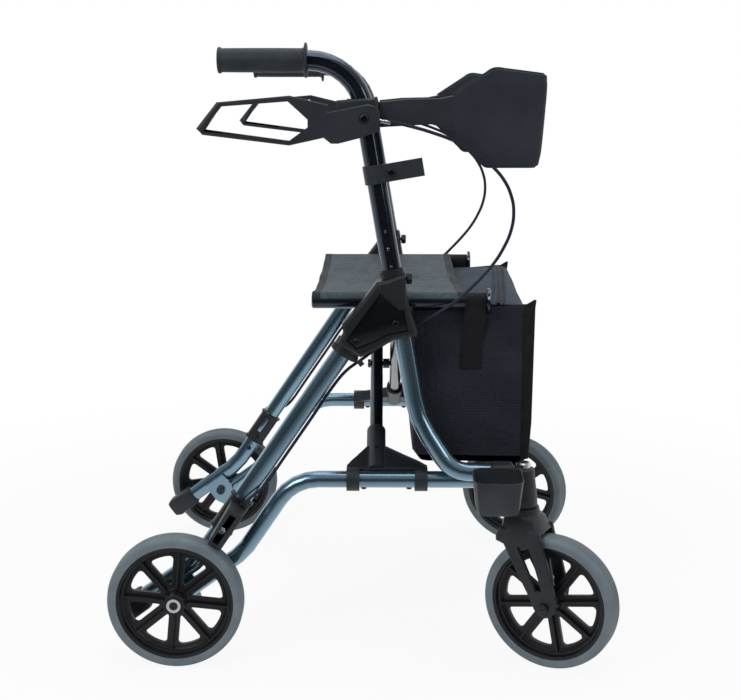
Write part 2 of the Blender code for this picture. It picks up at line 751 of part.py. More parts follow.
def hub():
    """The moulded joint that takes both legs and the handle post."""
    collar = post(COLLAR_UP)
    ring_at = leg_axis(0.190)
    low_leg = (leg_axis(0.1) - leg_axis(0.2)).normalized()
    outline = [(-0.008, 0.297), (-0.034, 0.262), (-0.0575, 0.236), (-0.056, 0.223),
               (-0.064, 0.208), (-0.031, 0.188), (0.0, 0.205), (0.015, 0.2133), (0.0395, 0.218),
               (0.049, 0.219), (0.050, 0.226), (0.040, 0.256), (0.035, 0.276), (0.0325, 0.290),
               (0.0325, 0.308), (0.019, 0.304), (0.006, 0.299)]
    body = plate([(x, RAIL_Z + up) for x, up in outline], -HUB_OUTSIDE_Y, -HUB_INSIDE_Y,
                 soft=0.004)
    panel = [(-0.0035, 0.281), (0.0245, 0.2575), (0.0315, 0.2575), (0.0375, 0.2265),
             (0.006, 0.2195), (-0.012, 0.2100), (-0.0375, 0.1995), (-0.0525, 0.2135)]
    recess = plate([(x, RAIL_Z + up) for x, up in panel], -HUB_OUTSIDE_Y - 0.01,
                   -HUB_OUTSIDE_Y + HUB_PANEL_DEPTH)
    rim = [(-0.0065, 0.2945), (0.006, 0.2965), (0.0185, 0.3015), (0.0325, 0.3065),
           (0.0335, 0.2605), (0.0255, 0.2605), (-0.0020, 0.2840)]
    shield = plate([(x, RAIL_Z + up) for x, up in rim], -HUB_OUTSIDE_Y - HUB_SHIELD_HEIGHT,
                   -HUB_OUTSIDE_Y + 0.001, soft=0.0012)
    neck = swept([post(COLLAR_UP - 0.050), collar],
                 outline=post_outline(COLLAR_WALL, COLLAR_SIDE_WALL))
    bead = swept([post(COLLAR_UP - 0.008), post(COLLAR_UP - 0.002)],
                 outline=post_outline(COLLAR_WALL + 0.0014, COLLAR_SIDE_WALL + 0.0004))
    ahead = low_leg.cross(Vector((0, 1, 0))) * 0.0025
    ring = swept([ring_at + ahead, ring_at + ahead - low_leg * 0.020],
                 outline=oval(REAR_LEG_HALF_Y + 0.0045, REAR_LEG_HALF_X + 0.0065))
    flare = swept([ring_at + ahead - low_leg * 0.001, ring_at + ahead - low_leg * 0.0075],
                  outline=oval(REAR_LEG_HALF_Y + 0.0055, REAR_LEG_HALF_X + 0.0080))
    body = join(cut(body, recess), shield, neck, bead, ring, flare)
    post_bore = swept([post(LEG_SHOULDER_UP + FIT), post(COLLAR_UP + 0.02)],
                      outline=post_outline(FIT))
    leg_bore = swept([post(LEG_SHOULDER_UP - 0.05), post(LEG_SHOULDER_UP + 2 * FIT)],
                     FRONT_LEG_RADIUS + FIT)
    rear_bore = swept([frame(*LEG_TOP) - low_leg * FIT, ring_at + low_leg * 0.03],
                      outline=oval(REAR_LEG_HALF_Y + FIT, REAR_LEG_HALF_X + FIT))
    stud = knob_axis()
    stud_bore = rod(stud - Vector((0.02, 0, 0)), stud + Vector((0.02, 0, 0)),
                    KNOB_STUD + FIT, sides=12)
    both(cut(body, post_bore, leg_bore, rear_bore, stud_bore), "hub", PLASTIC)


KNOB_STUD = 0.003


def knob_axis():
    """Where the height knob's stud goes through the front of the collar."""
    up = COLLAR_UP - 0.014
    centre = post(up)
    return Vector((centre.x + POST_HALF_X + COLLAR_WALL, centre.y, centre.z))


def height_knob():
    """The knob that clamps the post in its collar."""
    at = knob_axis()
    seat = 0.0014 + FIT
    lobes = 6
    rings = []
    for x, scale in ((seat, 0.85), (seat + 0.0015, 1.0), (seat + 0.007, 1.0),
                     (seat + 0.0085, 0.8)):
        ring = []
        for i in range(lobes * 4):
            angle = 2 * pi * i / (lobes * 4)
            radius = scale * (0.0078 + 0.0009 * cos(lobes * angle))
            ring.append(at + Vector((x, radius * cos(angle), radius * sin(angle))))
        rings.append(ring)
    head = loft(rings)
    end = -COLLAR_WALL + 4 * FIT
    stud = rod(at + Vector((end, 0, 0)), at + Vector((seat + 0.004, 0, 0)), KNOB_STUD, sides=12)
    both(join(head, stud), "height_knob", PLASTIC, at)


# Handles

def post_path():
    """The post's line from its foot up and back to the rear end of the grip."""
    corner = post(GRIP_UP)
    end = Vector((GRIP_REAR_X + 0.005, corner.y, corner.z))
    return fillet([post(POST_FOOT_UP), corner, end], (POST_BEND,), radians(10))


def handle_post():
    """The grooved post, bent back at the top to carry the grip."""
    tube = swept(post_path(), outline=post_outline())
    along = (post(COLLAR_UP) - post(POST_FOOT_UP)).normalized()
    bore = swept([post(POST_FOOT_UP) - along * 0.01,
                  post(POST_FOOT_UP) + along * POST_BORE_LENGTH], POST_BORE, sides=12)
    both(cut(tube, bore), "handle_post", GLOSS)


def grip():
    """The rubber grip, with a guard flange at the front."""
    centre = post(GRIP_UP)
    bar = GRIP_RADIUS
    front, rear = GRIP_FRONT_X, GRIP_REAR_X
    profile = [(front, 0.0), (front, 0.0228), (front - 0.001, 0.0243), (front - 0.004, 0.0243),
               (front - 0.005, bar), (rear + 0.005, bar), (rear + 0.004, bar + 0.0015),
               (rear + 0.001, bar + 0.0015), (rear, bar - 0.002), (rear, 0.0)]
    body = turned(profile, (0, centre.y, centre.z), (1, 0, 0), 20)
    bore = swept([Vector((front + 0.02, centre.y, centre.z)),
                  Vector((rear + 0.005 - FIT, centre.y, centre.z))],
                 outline=post_outline(FIT))
    both(cut(body, bore), "grip", (BLACK, 0.6, 0.0))


def lever_bracket():
    """The clamp on the post that carries the brake lever and the belt arm."""
    outline = [(-0.066, 0.536), (-0.064, 0.550), (-0.010, 0.554), (-0.006, 0.540),
               (-0.006, 0.507), (-0.030, 0.500), (-0.060, 0.493), (-0.067, 0.500)]
    body = plate([(x, RAIL_Z + up) for x, up in outline], -BRACKET_OUTSIDE_Y,
                 -BRACKET_INSIDE_Y, soft=0.003)
    bore = swept(post_path(), outline=post_outline(FIT))
    pivot = frame(*PIVOT)
    pin = rod((pivot.x, -BRACKET_OUTSIDE_Y + 0.001, pivot.z),
              (pivot.x, -BRACKET_OUTSIDE_Y - LEVER_PLATE - 0.001, pivot.z),
              LEVER_PIN, sides=12)
    both(join(cut(body, bore), pin), "lever_bracket", PLASTIC)


LEVER_PIN = 0.0045


def brake_lever():
    """The loop lever with its side plate on the bracket's pin."""
    y_in = BRACKET_OUTSIDE_Y + FIT
    y_out = y_in + LEVER_PLATE
    cheek = [(-0.100, 0.522), (-0.088, 0.532), (-0.020, 0.545), (-0.009, 0.542),
             (-0.004, 0.534), (-0.004, 0.509), (-0.030, 0.499), (-0.062, 0.491),
             (-0.072, 0.491), (-0.082, 0.499), (-0.096, 0.501)]
    body = plate([(x, RAIL_Z + up) for x, up in cheek], -y_out, -y_in, soft=0.0015)
    outer = [(-0.076, 0.544), (-0.129, 0.5565), (-0.229, 0.5475), (-0.2545, 0.508),
             (-0.250, 0.503), (-0.130, 0.4885), (-0.082, 0.499)]
    inner = [(-0.104, 0.524), (-0.104, 0.5135), (-0.130, 0.4950), (-0.2460, 0.5105),
             (-0.2250, 0.5415), (-0.131, 0.5485)]
    loop = plate([(x, RAIL_Z + up) for x, up in outer], -y_out, -(y_out - 0.012), soft=0.0015)
    opening = plate([(x, RAIL_Z + up) for x, up in inner], -y_out - 0.02, -y_out + 0.04)
    pivot = frame(*PIVOT)
    hole = cross_bore(pivot, LEVER_PIN + FIT)
    cap = box((-0.0695, -y_out + 0.0065, RAIL_Z + 0.4), (0.0, -0.2, RAIL_Z + 0.7))
    loop = cut(loop, cap)
    both(cut(join(loop, body), opening, hole), "brake_lever", PLASTIC, pivot)


# Back belt

def backrest_arm():
    """The arm from the bracket forward to the belt."""
    x_end = BELT_START_X - FIT
    outline = [(-0.006 + FIT, 0.548), (0.033, 0.552), (0.080, 0.553), (x_end, ARM_END_UP[1]),
               (x_end, ARM_END_UP[0]), (0.085, 0.512), (0.068, 0.517), (-0.006 + FIT, 0.513)]
    body = plate([(x, RAIL_Z + up) for x, up in outline], -FRAME_Y - 0.004, -FRAME_Y + 0.004,
                 soft=0.0012)
    both(body, "backrest_arm", PLASTIC)


def belt():
    """The padded belt that runs round the front from arm to arm."""
    start = Vector((BELT_START_X, -FRAME_Y, 0))
    corner = Vector((BELT_CORNER_X, -BELT_CORNER_Y, 0))
    side = [start.lerp(corner, share) for share in (0.0, 0.2, 0.41, 0.49, 0.74)]
    front = []
    for share in (0.80, 0.60, 0.40, 0.25, 0.12, 0.0):
        bow = (BELT_MIDDLE_X - BELT_CORNER_X) * share ** BELT_BOW
        front.append(Vector((BELT_MIDDLE_X - bow, -BELT_CORNER_Y * share, 0)))
    path = fillet(side + [corner] + front, (0, 0, 0, 0, 0.012) + (0,) * 5, radians(22))
    path += [Vector((p.x, -p.y, 0)) for p in reversed(path[:-1])]
    run = 0.0
    lengths = [0.0]
    for before, after in zip(path, path[1:]):
        run += (after - before).length
        lengths.append(run)
    side_run = (corner - start).length
    rings = []
    for i, point in enumerate(path):
        ahead = (path[min(i + 1, len(path) - 1)] - path[max(i - 1, 0)]).normalized()
        outward = Vector((ahead.y, -ahead.x, 0))
        near = min(lengths[i], run - lengths[i])
        share = min(1.0, near / BELT_RAMP)
        fall = min(1.0, max(0.0, (near - BELT_RAMP) / (side_run - BELT_RAMP)))
        top = ARM_END_UP[1] + (BELT_PEAK_UP - ARM_END_UP[1]) * share
        top += (BELT_TOP_UP - BELT_PEAK_UP) * fall
        low_share = min(1.0, near / BELT_LOW_RAMP)
        low = ARM_END_UP[0] + (BELT_BOTTOM_UP - ARM_END_UP[0]) * low_share
        half = BELT_THICK / 2 * (0.55 + 0.45 * share)
        ring = []
        for way, up in ((-1, 0.03), (-1, 0.5), (-1, 0.97), (0, 1.0), (1, 0.97), (1, 0.5),
                        (1, 0.03), (0, 0.0)):
            swell = 1.0 if up == 0.5 else 0.75
            lean = BELT_LEAN * fall * (2 * up - 1)
            ring.append(Vector((point.x + lean, point.y, RAIL_Z + low + (top - low) * up))
                        + outward * (way * half * swell))
        rings.append(ring)
    finish(loft(rings), "backrest_belt", SOFT, path[0])


# Brake cables

CABLE_RADIUS = 0.0024
CABLE_ROUTE = [(-0.0055, 0.522, 0.2560), (0.0135, 0.520, 0.2575), (0.045, 0.513, 0.2590),
               (0.072, 0.505, 0.2600), (0.097, 0.496, 0.2600), (0.118, 0.486, 0.2600),
               (0.137, 0.473, 0.2595), (0.156, 0.457, 0.2580), (0.171, 0.439, 0.2565),
               (0.181, 0.418, 0.2550), (0.185, 0.396, 0.2535), (0.182, 0.369, 0.2515),
               (0.171, 0.342, 0.2500), (0.158, 0.321, 0.2490), (0.144, 0.304, 0.2480),
               (0.129, 0.288, 0.2465), (0.108, 0.268, 0.2430), (0.080, 0.248, 0.2375),
               (0.055, 0.233, 0.2325), (0.015, 0.208, 0.2290), (-0.008, 0.194, 0.2295),
               (-0.0285, 0.1795, 0.2335), (-0.0530, 0.1625, 0.2400), (-0.0735, 0.1380, 0.2440),
               (-0.0983, 0.1010, 0.2460), (-0.1290, 0.0560, 0.2475), (-0.1539, 0.0193, 0.2480),
               (-0.1651, 0.0027, 0.2500), (-0.1759, -0.0105, 0.2540), (-0.1875, -0.0195, 0.2605),
               (-0.1960, -0.0252, 0.2640), (-0.2017, -0.0309, 0.2652)]


def brake_cable():
    """The cable from the lever bracket, held by the hub, to the brake shoe."""
    route = [frame(x, up, y) for x, up, y in CABLE_ROUTE]
    both(swept(route, CABLE_RADIUS, sides=6), "brake_cable", PLASTIC)


# Casters

def caster_housing():
    """The upright bearing housing with sockets for the rail and the front leg."""
    bottom, top = HOUSING_BOTTOM_Z, HOUSING_BOTTOM_Z + HOUSING_HEIGHT
    centre = Vector((STEM_X, -STEM_Y, 0))
    profile = [(bottom, 0.0), (bottom, 0.0205), (bottom + 0.004, 0.0215), (bottom + 0.016, 0.0205),
               (top - 0.010, 0.0165), (top - 0.002, 0.0160), (top, 0.0140), (top, 0.0)]
    body = turned(profile, centre, (0, 0, 1), 24)
    rear, ahead, outside = STEM_X - 0.052, STEM_X - 0.0118, -STEM_Y - 0.0172
    saddle = box((rear, outside, RAIL_Z - 0.0165),
                 (ahead, -FRAME_Y + 0.0165, RAIL_Z + 0.0165), 0.006)
    shoulder = box((rear, outside, RAIL_Z - 0.0165), (ahead, -STEM_Y + 0.0185, RAIL_Z + 0.0322),
                   0.007)
    body = join(body, saddle, shoulder)
    stem = rod((STEM_X, -STEM_Y, bottom - 0.01), (STEM_X, -STEM_Y, top + 0.01),
               STEM_RADIUS + FIT)
    rail = swept([frame(0.190 + FIT, 0), frame(0.1, 0)], RAIL_RADIUS + FIT)
    foot = frame(0.189 + FIT, 0.0165, STEM_Y)
    shin = frame(0.101, 0.019, STEM_Y - 0.003)
    leg = swept([shin, foot], FRONT_LEG_RADIUS + FIT)
    both(cut(body, rail, leg, stem), "caster_housing", PLASTIC)


def fork():
    """The caster fork in its own frame: the stem stands at the origin."""
    bottom, top = CROWN_BOTTOM_Z, CROWN_TOP_Z
    outer = FORK_INSIDE + FORK_ARM
    neck = turned([(bottom + 0.004, 0.0), (bottom + 0.004, 0.0265), (top - 0.006, 0.0255),
                   (top, 0.0240), (top, 0.0)], (0, 0, 0), (0, 0, 1), 20)
    rings = []
    for z, low, high, half, corner in ((bottom, -0.024, 0.038, outer, 0.012),
                                       (bottom + 0.008, -0.025, 0.034, outer, 0.016),
                                       (bottom + 0.017, -0.0245, 0.031, 0.0305, 0.018),
                                       (bottom + 0.025, -0.0215, 0.0240, 0.0245, 0.020)):
        middle, width = (low + high) / 2, high - low
        rings.append([Vector((middle + x, y, z)) for x, y in rounded(width, 2 * half, corner)])
    crown = loft(rings)
    axle = Vector((CASTER_TRAIL, 0, AXLE_Z))
    outline = [(-0.024, bottom + 0.006), (-0.0295, bottom - 0.008), (-0.0290, bottom - 0.015),
               (-0.017, bottom - 0.019), (-0.004, AXLE_Z + 0.062),
               (0.022, AXLE_Z + 0.016)]
    outline += [(axle.x + 0.0165 * cos(radians(a)), axle.z + 0.0165 * sin(radians(a)))
                for a in (200, 235, 270, 305, 340)]
    outline += [(0.0655, AXLE_Z + 0.012), (0.052, AXLE_Z + 0.062), (0.040, bottom - 0.008),
                (0.037, bottom + 0.006)]
    slot = [(0.004, bottom - 0.020), (0.023, bottom - 0.020), (0.044, AXLE_Z + 0.024),
            (0.034, AXLE_Z + 0.022)]
    body = join(crown, neck)
    for side in (-1, 1):
        faces = sorted((side * FORK_INSIDE, side * outer))
        arm = plate(outline, *faces, soft=0.0018)
        window = plate(slot, faces[0] - 0.01, faces[1] + 0.01)
        body = join(body, cut(arm, window))
    hole = rod((axle.x, -0.06, axle.z), (axle.x, 0.06, axle.z), FRONT_AXLE_RADIUS + FIT)
    socket = rod((0, 0, bottom + 0.008), (0, 0, top + 0.02), STEM_RADIUS + FIT)
    return cut(body, hole, socket)


def caster(side, name):
    """One caster: fork, stem bolt, wheel and axle, turned by its yaw."""
    swivel = bpy.data.objects.new("swivel_" + name, None)
    swivel.location = (STEM_X, side * STEM_Y, 0)
    swivel.rotation_euler = (0, 0, CASTER_YAW)
    swivel.parent = walker
    PARTS.objects.link(swivel)
    finish(fork(), "caster_fork_" + name, PLASTIC, parent=swivel)
    top = HOUSING_BOTTOM_Z + HOUSING_HEIGHT + FIT
    profile = [(CROWN_BOTTOM_Z + 0.008 + FIT, 0.0), (CROWN_BOTTOM_Z + 0.008 + FIT, STEM_RADIUS),
               (top, STEM_RADIUS), (top, 0.0105), (top + 0.006, 0.0105), (top + 0.008, 0.0085),
               (top + 0.008, 0.0)]
    bolt = turned(profile, (0, 0, 0), (0, 0, 1), 16)
    finish(bolt, "stem_bolt_" + name, METAL, parent=swivel)
    centre = Vector((CASTER_TRAIL, 0, AXLE_Z))
    axis = (0, 1, 0)
    finish(tyre_mesh(centre, axis), "front_tyre_" + name, RUBBER, centre, swivel)
    rim = rim_mesh(centre, axis, FORK_INSIDE - 2 * FIT, FRONT_AXLE_RADIUS)
    finish(rim, "front_rim_" + name, PLASTIC, centre, swivel)
    reach = FORK_INSIDE + FORK_ARM + FIT
    profile = [(-reach - 0.004, 0.0), (-reach - 0.004, 0.0070), (-reach, 0.0075),
               (-reach, FRONT_AXLE_RADIUS), (reach, FRONT_AXLE_RADIUS), (reach, 0.0075),
               (reach + 0.004, 0.0070), (reach + 0.004, 0.0)]
    finish(turned(profile, centre, axis, 16), "front_axle_" + name, METAL, centre, swivel)


# Cross brace and seat

def brace_foot(x_middle):
    """A foot that clips round the right lower rail and holds brace A."""
    way = brace_direction()
    square = Vector((0, -sin(BRACE_ANGLE), cos(BRACE_ANGLE)))
    pivot = Vector((0, -FRAME_Y, RAIL_Z))
    half = CLIP_WIDTH / 2
    body = rod(pivot + way * 0.016 + Vector((x_middle, 0, 0)),
               pivot + way * FOOT_LENGTH + Vector((x_middle, 0, 0)), FOOT_RADIUS)
    outline = [(CLIP_REAR_X - half, 0.012), (CLIP_REAR_X - half, 0.022),
               (x_middle - FOOT_RADIUS + 0.001, 0.064), (x_middle + FOOT_RADIUS - 0.001, 0.064),
               (CLIP_FRONT_X + half, 0.022), (CLIP_FRONT_X + half, 0.012)]
    wing = loft([[pivot + Vector((x, 0, 0)) + way * u + square * w for x, u in outline]
                 for w in (-0.008, 0.008)])
    body = join(body, wing)
    for x in (CLIP_REAR_X, CLIP_FRONT_X):
        clip = rod((x - half, -FRAME_Y, RAIL_Z), (x + half, -FRAME_Y, RAIL_Z), CLIP_RADIUS)
        body = join(body, clip)
    rail = swept([frame(CLIP_FRONT_X + 0.03, 0), frame(CLIP_REAR_X - 0.03, 0)],
                 RAIL_RADIUS + FIT)
    socket = rod(pivot + way * (FOOT_START - FIT) + Vector((x_middle, 0, 0)),
                 pivot + way * (FOOT_LENGTH + 0.02) + Vector((x_middle, 0, 0)),
                 BRACE_RADIUS + FIT)
    return cut(body, rail, socket)


def brace_tube(x_middle):
    """Brace A's tube with the saddle that carries the left seat rail."""
    way = brace_direction()
    square = Vector((0, -sin(BRACE_ANGLE), cos(BRACE_ANGLE)))
    pivot = Vector((x_middle, -FRAME_Y, RAIL_Z))
    tube = rod(pivot + way * FOOT_START, pivot + way * (BRACE_LENGTH - TUBE_SHORT),
               BRACE_RADIUS)
    half = BRACE_RADIUS - 0.001
    outline = [(-0.062, 0.004), (-0.020, 0.003), (-0.005, SEAT_OFFSET - 0.019),
               (-0.003, SEAT_OFFSET - 0.008), (-0.016, SEAT_OFFSET - 0.001)]
    saddle = loft([[Vector((x_middle + x, -FRAME_Y, RAIL_Z)) + way * (BRACE_LENGTH + u) + square * w
                    for u, w in outline] for x in (-half, half)])
    seat = seat_rail_axis()
    groove = rod((x_middle - 0.03, seat.y, seat.z), (x_middle + 0.03, seat.y, seat.z),
                 SEAT_RAIL_RADIUS + FIT, sides=24)
    cross = pivot + way * BRACE_CROSS
    hole = rod(cross - Vector((0.02, 0, 0)), cross + Vector((0.02, 0, 0)),
               CROSS_BOLT_RADIUS + FIT, sides=12)
    return cut(join(tube, saddle), groove, hole)


def seat_rail_axis():
    """The left seat rail's axis, square above the end of brace A."""
    way = brace_direction()
    square = Vector((0, -sin(BRACE_ANGLE), cos(BRACE_ANGLE)))
    return Vector((0, -FRAME_Y, RAIL_Z)) + way * BRACE_LENGTH + square * SEAT_OFFSET


def braces():
    """Both braces, their feet and the bolt where they cross."""
    pivot = Vector((0, -FRAME_Y, RAIL_Z))
    cross = pivot + brace_direction() * BRACE_CROSS
    foot = finish(brace_foot(BRACE_A_X), "brace_a_foot", PLASTIC, pivot)
    tube = finish(brace_tube(BRACE_A_X), "brace_a_tube", GLOSS, pivot)
    for part, build, x in (("foot", brace_foot, BRACE_B_X), ("tube", brace_tube, BRACE_B_X)):
        right = finish(build(x), "right_" + part, PLASTIC if part == "foot" else GLOSS, cross)
        mirrored(right, "brace_b_" + part)
        bpy.data.objects.remove(right)
    head = 0.0045
    out_a, out_b = BRACE_A_X - BRACE_RADIUS - FIT, BRACE_B_X + BRACE_RADIUS + FIT
    in_a, in_b = BRACE_A_X + BRACE_RADIUS + FIT, BRACE_B_X - BRACE_RADIUS - FIT
    thin = CROSS_BOLT_RADIUS
    profile = [(out_a - head, 0.0), (out_a - head, 0.0065), (out_a, 0.0075), (out_a, thin),
               (in_a, thin), (in_a, 0.008), (in_b, 0.008), (in_b, thin),
               (out_b, thin), (out_b, 0.0075), (out_b + head, 0.0065), (out_b + head, 0.0)]
    bolt = turned(profile, (0, cross.y, cross.z), (1, 0, 0), 16)
    finish(bolt, "cross_bolt", METAL, cross)
    return foot, tube


def seat_rail():
    """The glossy rail at each side of the seat, with its flanged end cap."""
    axis = seat_rail_axis()
    radius = SEAT_RAIL_RADIUS
    rear, front = SEAT_RAIL_REAR_X, SEAT_RAIL_FRONT_X
    profile = [(rear, 0.0), (rear, radius - 0.002), (rear + 0.002, radius),
               (front - 0.0045, radius), (front - 0.0045, SEAT_CAP_RADIUS - 0.001),
               (front - 0.0015, SEAT_CAP_RADIUS), (front, SEAT_CAP_RADIUS - 0.002), (front, 0.0)]
    both(turned(profile, (0, -axis.y, axis.z), (1, 0, 0), 24), "seat_rail", GLOSS,
         (0, -axis.y, axis.z))


def sling():
    """The seat sling, wrapped over both rails, with a sag and soft cross folds."""
    axis = seat_rail_axis()
    reach = axis.y
    inner = SEAT_RAIL_RADIUS + FIT + 0.0002
    columns = 9
    half = []
    for degrees in (-35, -10, 15, 40, 65, 90):
        angle = radians(180 - degrees)
        half.append((-reach + inner * cos(angle), inner * sin(angle), cos(angle), sin(angle)))
    for i in range(1, 7):
        y = -reach * (1 - i / 6)
        half.append((y, inner - SLING_SAG * (1 - (y / reach) ** 2), 0, 1))
    line = half + [(-y, z, -ny, nz) for y, z, ny, nz in reversed(half[:-1])]
    rings = []
    for c in range(columns):
        share = c / (columns - 1)
        x = SLING_REAR_X + (SLING_FRONT_X - SLING_REAR_X) * share
        rim = 0.0006 * (abs(2 * share - 1) > 0.99)
        ring = []
        for y, z, ny, nz in line:
            flat = max(0.0, 1 - (y / (reach * 0.9)) ** 2)
            fold = 0.0016 * sin(5.5 * pi * share + 3 * y / reach) * flat
            ring.append(Vector((x, y, axis.z + z + fold)))
        over = []
        for (y, z, ny, nz), low in zip(line, ring):
            over.append(low + Vector((0, ny, nz)) * (SLING_THICK + rim))
        rings.append(ring + over[::-1])
    finish(loft(rings), "seat_sling", SOFT, (0, 0, axis.z))


def strap(side):
    """A strap that loops over one seat rail and runs down to the bag's side."""
    axis = seat_rail_axis()
    inner = SEAT_RAIL_RADIUS + FIT
    outer = inner + STRAP_THICK
    loop = rod((STRAP_REAR_X, side * axis.y, axis.z), (STRAP_FRONT_X, side * axis.y, axis.z),
               outer, sides=24)
    bore = rod((STRAP_REAR_X - 0.01, side * axis.y, axis.z),
               (STRAP_FRONT_X + 0.01, side * axis.y, axis.z), inner, sides=24)
    outside = axis.y + outer - 0.0001
    rows = [(outside, axis.z, 0.0), (outside - 0.0005, axis.z - 0.016, 0.0),
            (BAG_HALF_WIDTH + 0.0008, axis.z - STRAP_DROP, -0.006)]
    down = loft([[Vector((x + lean, side * (y - inward), z))
                  for x, inward in ((STRAP_REAR_X, 0), (STRAP_FRONT_X, 0),
                                    (STRAP_FRONT_X, STRAP_THICK), (STRAP_REAR_X, STRAP_THICK))]
                 for y, z, lean in rows])
    tongue_out = axis.y - inner - 0.0002
    tongue = box((STRAP_REAR_X, 0, axis.z - 0.024),
                 (STRAP_FRONT_X, STRAP_THICK, axis.z))
    shift = tongue_out - STRAP_THICK if side > 0 else -tongue_out
    tongue.data.transform(Matrix.Translation((0, shift, 0)))
    return cut(loop, bore), down, tongue


def bag():
    """The zipped bag that hangs from the seat rails in front of the braces."""
    axis = seat_rail_axis()
    top = axis.z - SEAT_RAIL_RADIUS - FIT
    half = BAG_HALF_WIDTH
    rings = []
    for share, x_in, y_half in ((0.0, 0.006, half - 0.017), (0.03, 0.002, half - 0.010),
                                (0.35, -0.001, half - 0.002), (0.75, 0.0, half),
                                (0.97, 0.001, half - 0.0005), (1.0, 0.004, half - 0.010)):
        z = top - BAG_DROP * (1 - share)
        low, high = BAG_REAR_X + x_in, BAG_FRONT_X - x_in - 0.004 * (1 - share)
        rings.append([Vector(((low + high) / 2 + x, y, z))
                      for x, y in rounded(high - low, 2 * y_half, 0.014)])
    body = loft(rings)
    for side in (1, -1):
        body = join(body, *strap(side))
    finish(body, "bag", CLOTH, (0, -axis.y, axis.z))


# Right side only

def cane_cup():
    """The open cup for a stick's foot, outboard of the right caster housing."""
    back, lip = STEM_Y + 0.0232, STEM_Y + 0.0740
    middle = STEM_X - 0.0415
    low = RAIL_Z - 0.026
    wall = 0.0022
    rows = ((0.0, 0.058, 0.006), (0.008, 0.062, 0.002), (0.047, 0.070, 0.0), (0.059, 0.072, 0.0))

    def section(up, width, taper, inset, tilt):
        depth = lip - back - 2 * taper
        y_middle = -(back + lip) / 2
        points = []
        for x, y in rounded(width - 2 * inset, depth - 2 * inset, 0.012 - inset / 2):
            fall = 0.010 * (0.5 - y / depth) * tilt
            points.append(Vector((middle + x, y_middle + y, low + up - fall)))
        return points

    outer = loft([section(up, width, taper, 0.0, 1.0 if up > 0.05 else 0.0)
                  for up, width, taper in rows])
    hollow = [section(up + (wall if up < 0.001 else 0.0), width, taper, wall, 0.0)
              for up, width, taper in rows]
    hollow.append([p + Vector((0, 0, 0.02)) for p in hollow[-1]])
    lug = box((STEM_X - 0.044, -back - 0.0018, RAIL_Z - 0.006),
              (STEM_X - 0.016, -(STEM_Y + 0.0172 + FIT), RAIL_Z + 0.022))
    cup = join(cut(outer, loft(hollow)), lug)
    finish(cup, "cane_cup", PLASTIC)


def cane_clip():
    """The strap round the right post with a tab that holds a stick."""
    low, high = post(0.435), post(0.461)
    along = (high - low).normalized()
    ahead = Vector((0, 1, 0)).cross(along)
    body = swept([low, high], outline=post_outline(FIT + 0.0026))
    start = POST_HALF_X - 0.004
    y_tab = -(POST_Y + POST_HALF_Y + FIT + 0.0026)
    tab_rings = []
    for reach in (-0.006, 0.058):
        corner = low + ahead * (start + reach)
        tab_rings.append([Vector((corner.x, y, corner.z)) + along * a
                          for y, a in ((y_tab, 0.0005), (y_tab + 0.0045, 0.0005),
                                       (y_tab + 0.0045, 0.0258), (y_tab, 0.0258))])
    hold = low + along * 0.013 + ahead * (POST_HALF_X + 0.0080)
    boss = rod((hold.x, y_tab + 0.001, hold.z), (hold.x, y_tab - 0.0022, hold.z), 0.0075)
    body = join(body, loft(tab_rings), boss)
    bore = swept([low - along * 0.01, high + along * 0.01], outline=post_outline(FIT))
    finish(cut(body, bore), "cane_clip", PLASTIC)


lower_rail()
front_leg()
rear_leg()
axle_carrier()
kerb_pedal()
rear_sleeve()
rear_wheel()
brake_shoe()
hub()
height_knob()
handle_post()
grip()
lever_bracket()
brake_lever()
backrest_arm()
belt()
brake_cable()
caster_housing()
for caster_side, caster_name in ((-1, "right"), (1, "left")):
    caster(caster_side, caster_name)
braces()
seat_rail()
sling()
bag()
cane_cup()
cane_clip()
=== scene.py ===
# %% [markdown]
# # Dressing a folding walker
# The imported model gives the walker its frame: every tube, joint and wheel at its real
# size and place. This lesson keeps that frame where it stands and gives each surface its
# finish. It models again what a plain solid can't show, such as wheels, cloth and cords.

# %% Load the frame
from math import copysign, cos, pi, radians, sin, tan

import bmesh
import bpy
from mathutils import Matrix, Vector


